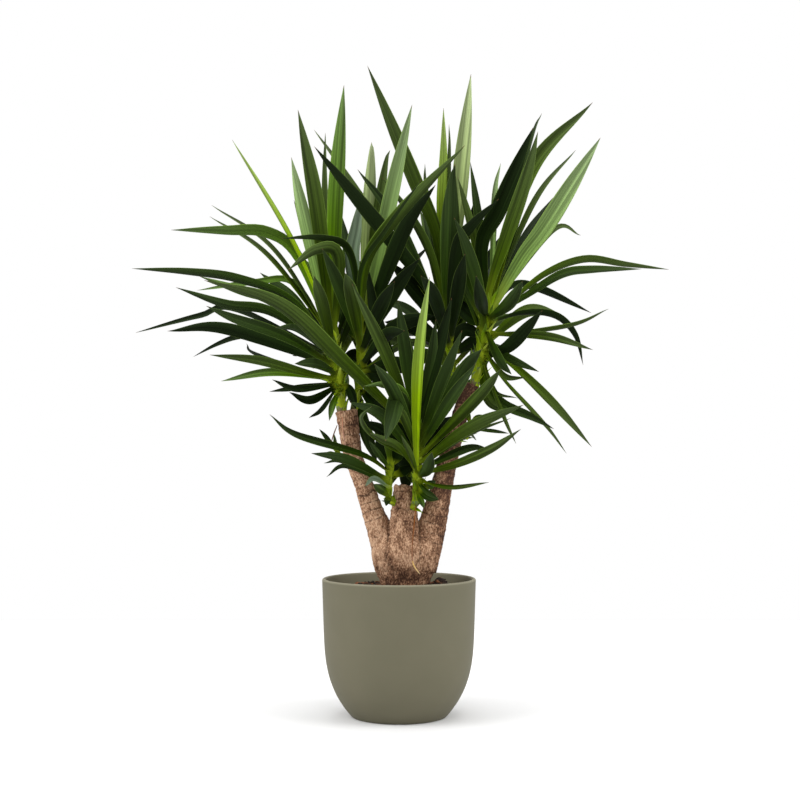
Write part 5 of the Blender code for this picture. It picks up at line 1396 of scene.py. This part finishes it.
tipped = add_node(tree, "ShaderNodeMix", {"Factor": dry.outputs[0], 6: backed.outputs[2],
                                          7: from_hex(LEAF_DRY)}, data_type="RGBA")
relief = add_node(tree, "ShaderNodeBump", {"Height": ribs, "Strength": 0.5, "Distance": 0.0004})
gloss = add_node(tree, "ShaderNodeMapRange", {"Value": ribs, 3: 0.36, 4: 0.52})
tree.links.new(tipped.outputs[2], shader.inputs["Base Color"])
tree.links.new(gloss.outputs[0], shader.inputs["Roughness"])
tree.links.new(relief.outputs[0], shader.inputs["Normal"])
shader.inputs["IOR"].default_value = 1.40
shader.inputs["Specular IOR Level"].default_value = 0.02

# The green stem under the clasping bases: pale yellow-green, brown and corky where it leaves the cane.
STEM_GREEN = "#546A20"
STEM_BROWN = "#6A4F33"
STEM_FINE_SIDES = 20
stalk, tree, shader = new_finish("green_stem")
along = add_node(tree, "ShaderNodeAttribute", attribute_name="along").outputs["Fac"]
place = add_node(tree, "ShaderNodeTexCoord").outputs["Object"]
mottle = add_node(tree, "ShaderNodeTexNoise", {"Vector": place, "Scale": 1 / 0.005, "Detail": 4.0})
uneven = add_node(tree, "ShaderNodeMath", {0: mottle.outputs["Fac"], 1: 0.5, 2: along},
                  operation="MULTIPLY_ADD")
greener = add_node(tree, "ShaderNodeMapRange", {"Value": uneven.outputs[0], 1: 0.28, 2: 0.42})
tint = add_node(tree, "ShaderNodeMix", {"Factor": greener.outputs[0], 6: from_hex(STEM_BROWN),
                                        7: from_hex(STEM_GREEN)}, data_type="RGBA")
relief = add_node(tree, "ShaderNodeBump", {"Height": mottle.outputs["Fac"], "Strength": 0.6,
                                           "Distance": 0.0006})
tree.links.new(tint.outputs[2], shader.inputs["Base Color"])
tree.links.new(relief.outputs[0], shader.inputs["Normal"])
shader.inputs["Roughness"].default_value = 0.55


def stem_mesh(name, head):
    """The stem, ringed where old leaves sat, swollen at its foot and closed to a bud at its top."""
    count = 60
    steps = [step / count for step in range(count + 1)]
    points = smooth_path([Vector(point) for point in head["stem"]], steps)
    radii = []
    for step in steps:
        rings = 1.0 + 0.05 * sin(step * 26 * pi)
        foot = 1.0 + 0.08 * exp(-((step - 0.22) / 0.10) ** 2)
        bud = sqrt(max(1.0 - max(step - 0.9, 0.0) * 9.8, 0.02))
        radii.append(head["radius"] * (1.0 - STEM_TAPER * step) * rings * foot * bud)
    verts, faces = closed_loft(rings_along(points, radii, STEM_FINE_SIDES))
    mesh = bpy.data.meshes.new(name)
    mesh.from_pydata(verts, [], faces)
    attribute = mesh.attributes.new("along", "FLOAT", "POINT")
    attribute.data.foreach_set("value", np.repeat(steps, STEM_FINE_SIDES))
    mesh.shade_smooth()
    return mesh


for name, blades in lay_out_heads().items():
    head = HEADS[name]
    lines = new_piece(name + "_lines", leaf_lines(name, blades, head, stem_path(head)), leaf)
    leaves = new_piece(name + "_leaves", grown_mesh(lines, sweep, {
        "Section Points": LEAF_SECTION_POINTS, "Thickness": LEAF_THICKNESS, "Material": leaf}), leaf)
    bpy.data.objects.remove(lines)
    stem = new_piece(name + "_stem", stem_mesh(name + "_stem", head), stalk)
    for piece in (leaves, stem):
        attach(piece, "root")
        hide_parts(name)


# The studio: a sheet of white paper under the pot, a white surround and three large soft lights.
# The surround is seen as pure white and lights more weakly than it shows, so that the leaves deep
# in the heads stay dark.
PAPER_REACH = 1.4
SURROUND_LIGHT = 0.72
paper, tree, shader = new_finish("white_paper")
shader.inputs["Base Color"].default_value = from_hex("#E4E4E4")
shader.inputs["Roughness"].default_value = 0.9
shader.inputs["Specular IOR Level"].default_value = 0.1
sheet = bpy.data.meshes.new("studio_floor")
sheet.from_pydata([(-PAPER_REACH, -PAPER_REACH, 0), (PAPER_REACH, -PAPER_REACH, 0),
                   (PAPER_REACH, PAPER_REACH, 0), (-PAPER_REACH, PAPER_REACH, 0)], [], [(0, 1, 2, 3)])
new_piece("studio_floor", sheet, paper)

surround = bpy.data.worlds.new("white_surround")
surround.use_nodes = True
tree = surround.node_tree
rays = add_node(tree, "ShaderNodeLightPath")
strength = add_node(tree, "ShaderNodeMapRange", {"Value": rays.outputs["Is Camera Ray"],
                                                 3: SURROUND_LIGHT, 4: 1.0})
sky = tree.nodes["Background"]
sky.inputs["Color"].default_value = (1.0, 1.0, 1.0, 1.0)
tree.links.new(strength.outputs[0], sky.inputs["Strength"])
bpy.context.scene.world = surround
bpy.context.scene.view_settings.view_transform = "Standard"

for name, place, aim, size, power in (
        ("left", (-2.1, -0.9, 1.9), (0, 0, 0.6), 1.8, 52.0),
        ("right", (2.1, -0.8, 1.7), (0, 0, 0.6), 1.8, 42.0),
        ("front", (0.0, -2.6, 2.4), (0, 0, 0.4), 1.6, 14.0),
        ("top", (0.1, 0.3, 3.0), (0, 0, 0.8), 1.8, 52.0)):
    lamp = bpy.data.lights.new(name, "AREA")
    lamp.size = size
    lamp.energy = power
    stand = bpy.data.objects.new(name, lamp)
    stand.location = place
    stand.rotation_euler = (Vector(aim) - Vector(place)).to_track_quat("-Z", "Y").to_euler()
    bpy.context.scene.collection.objects.link(stand)
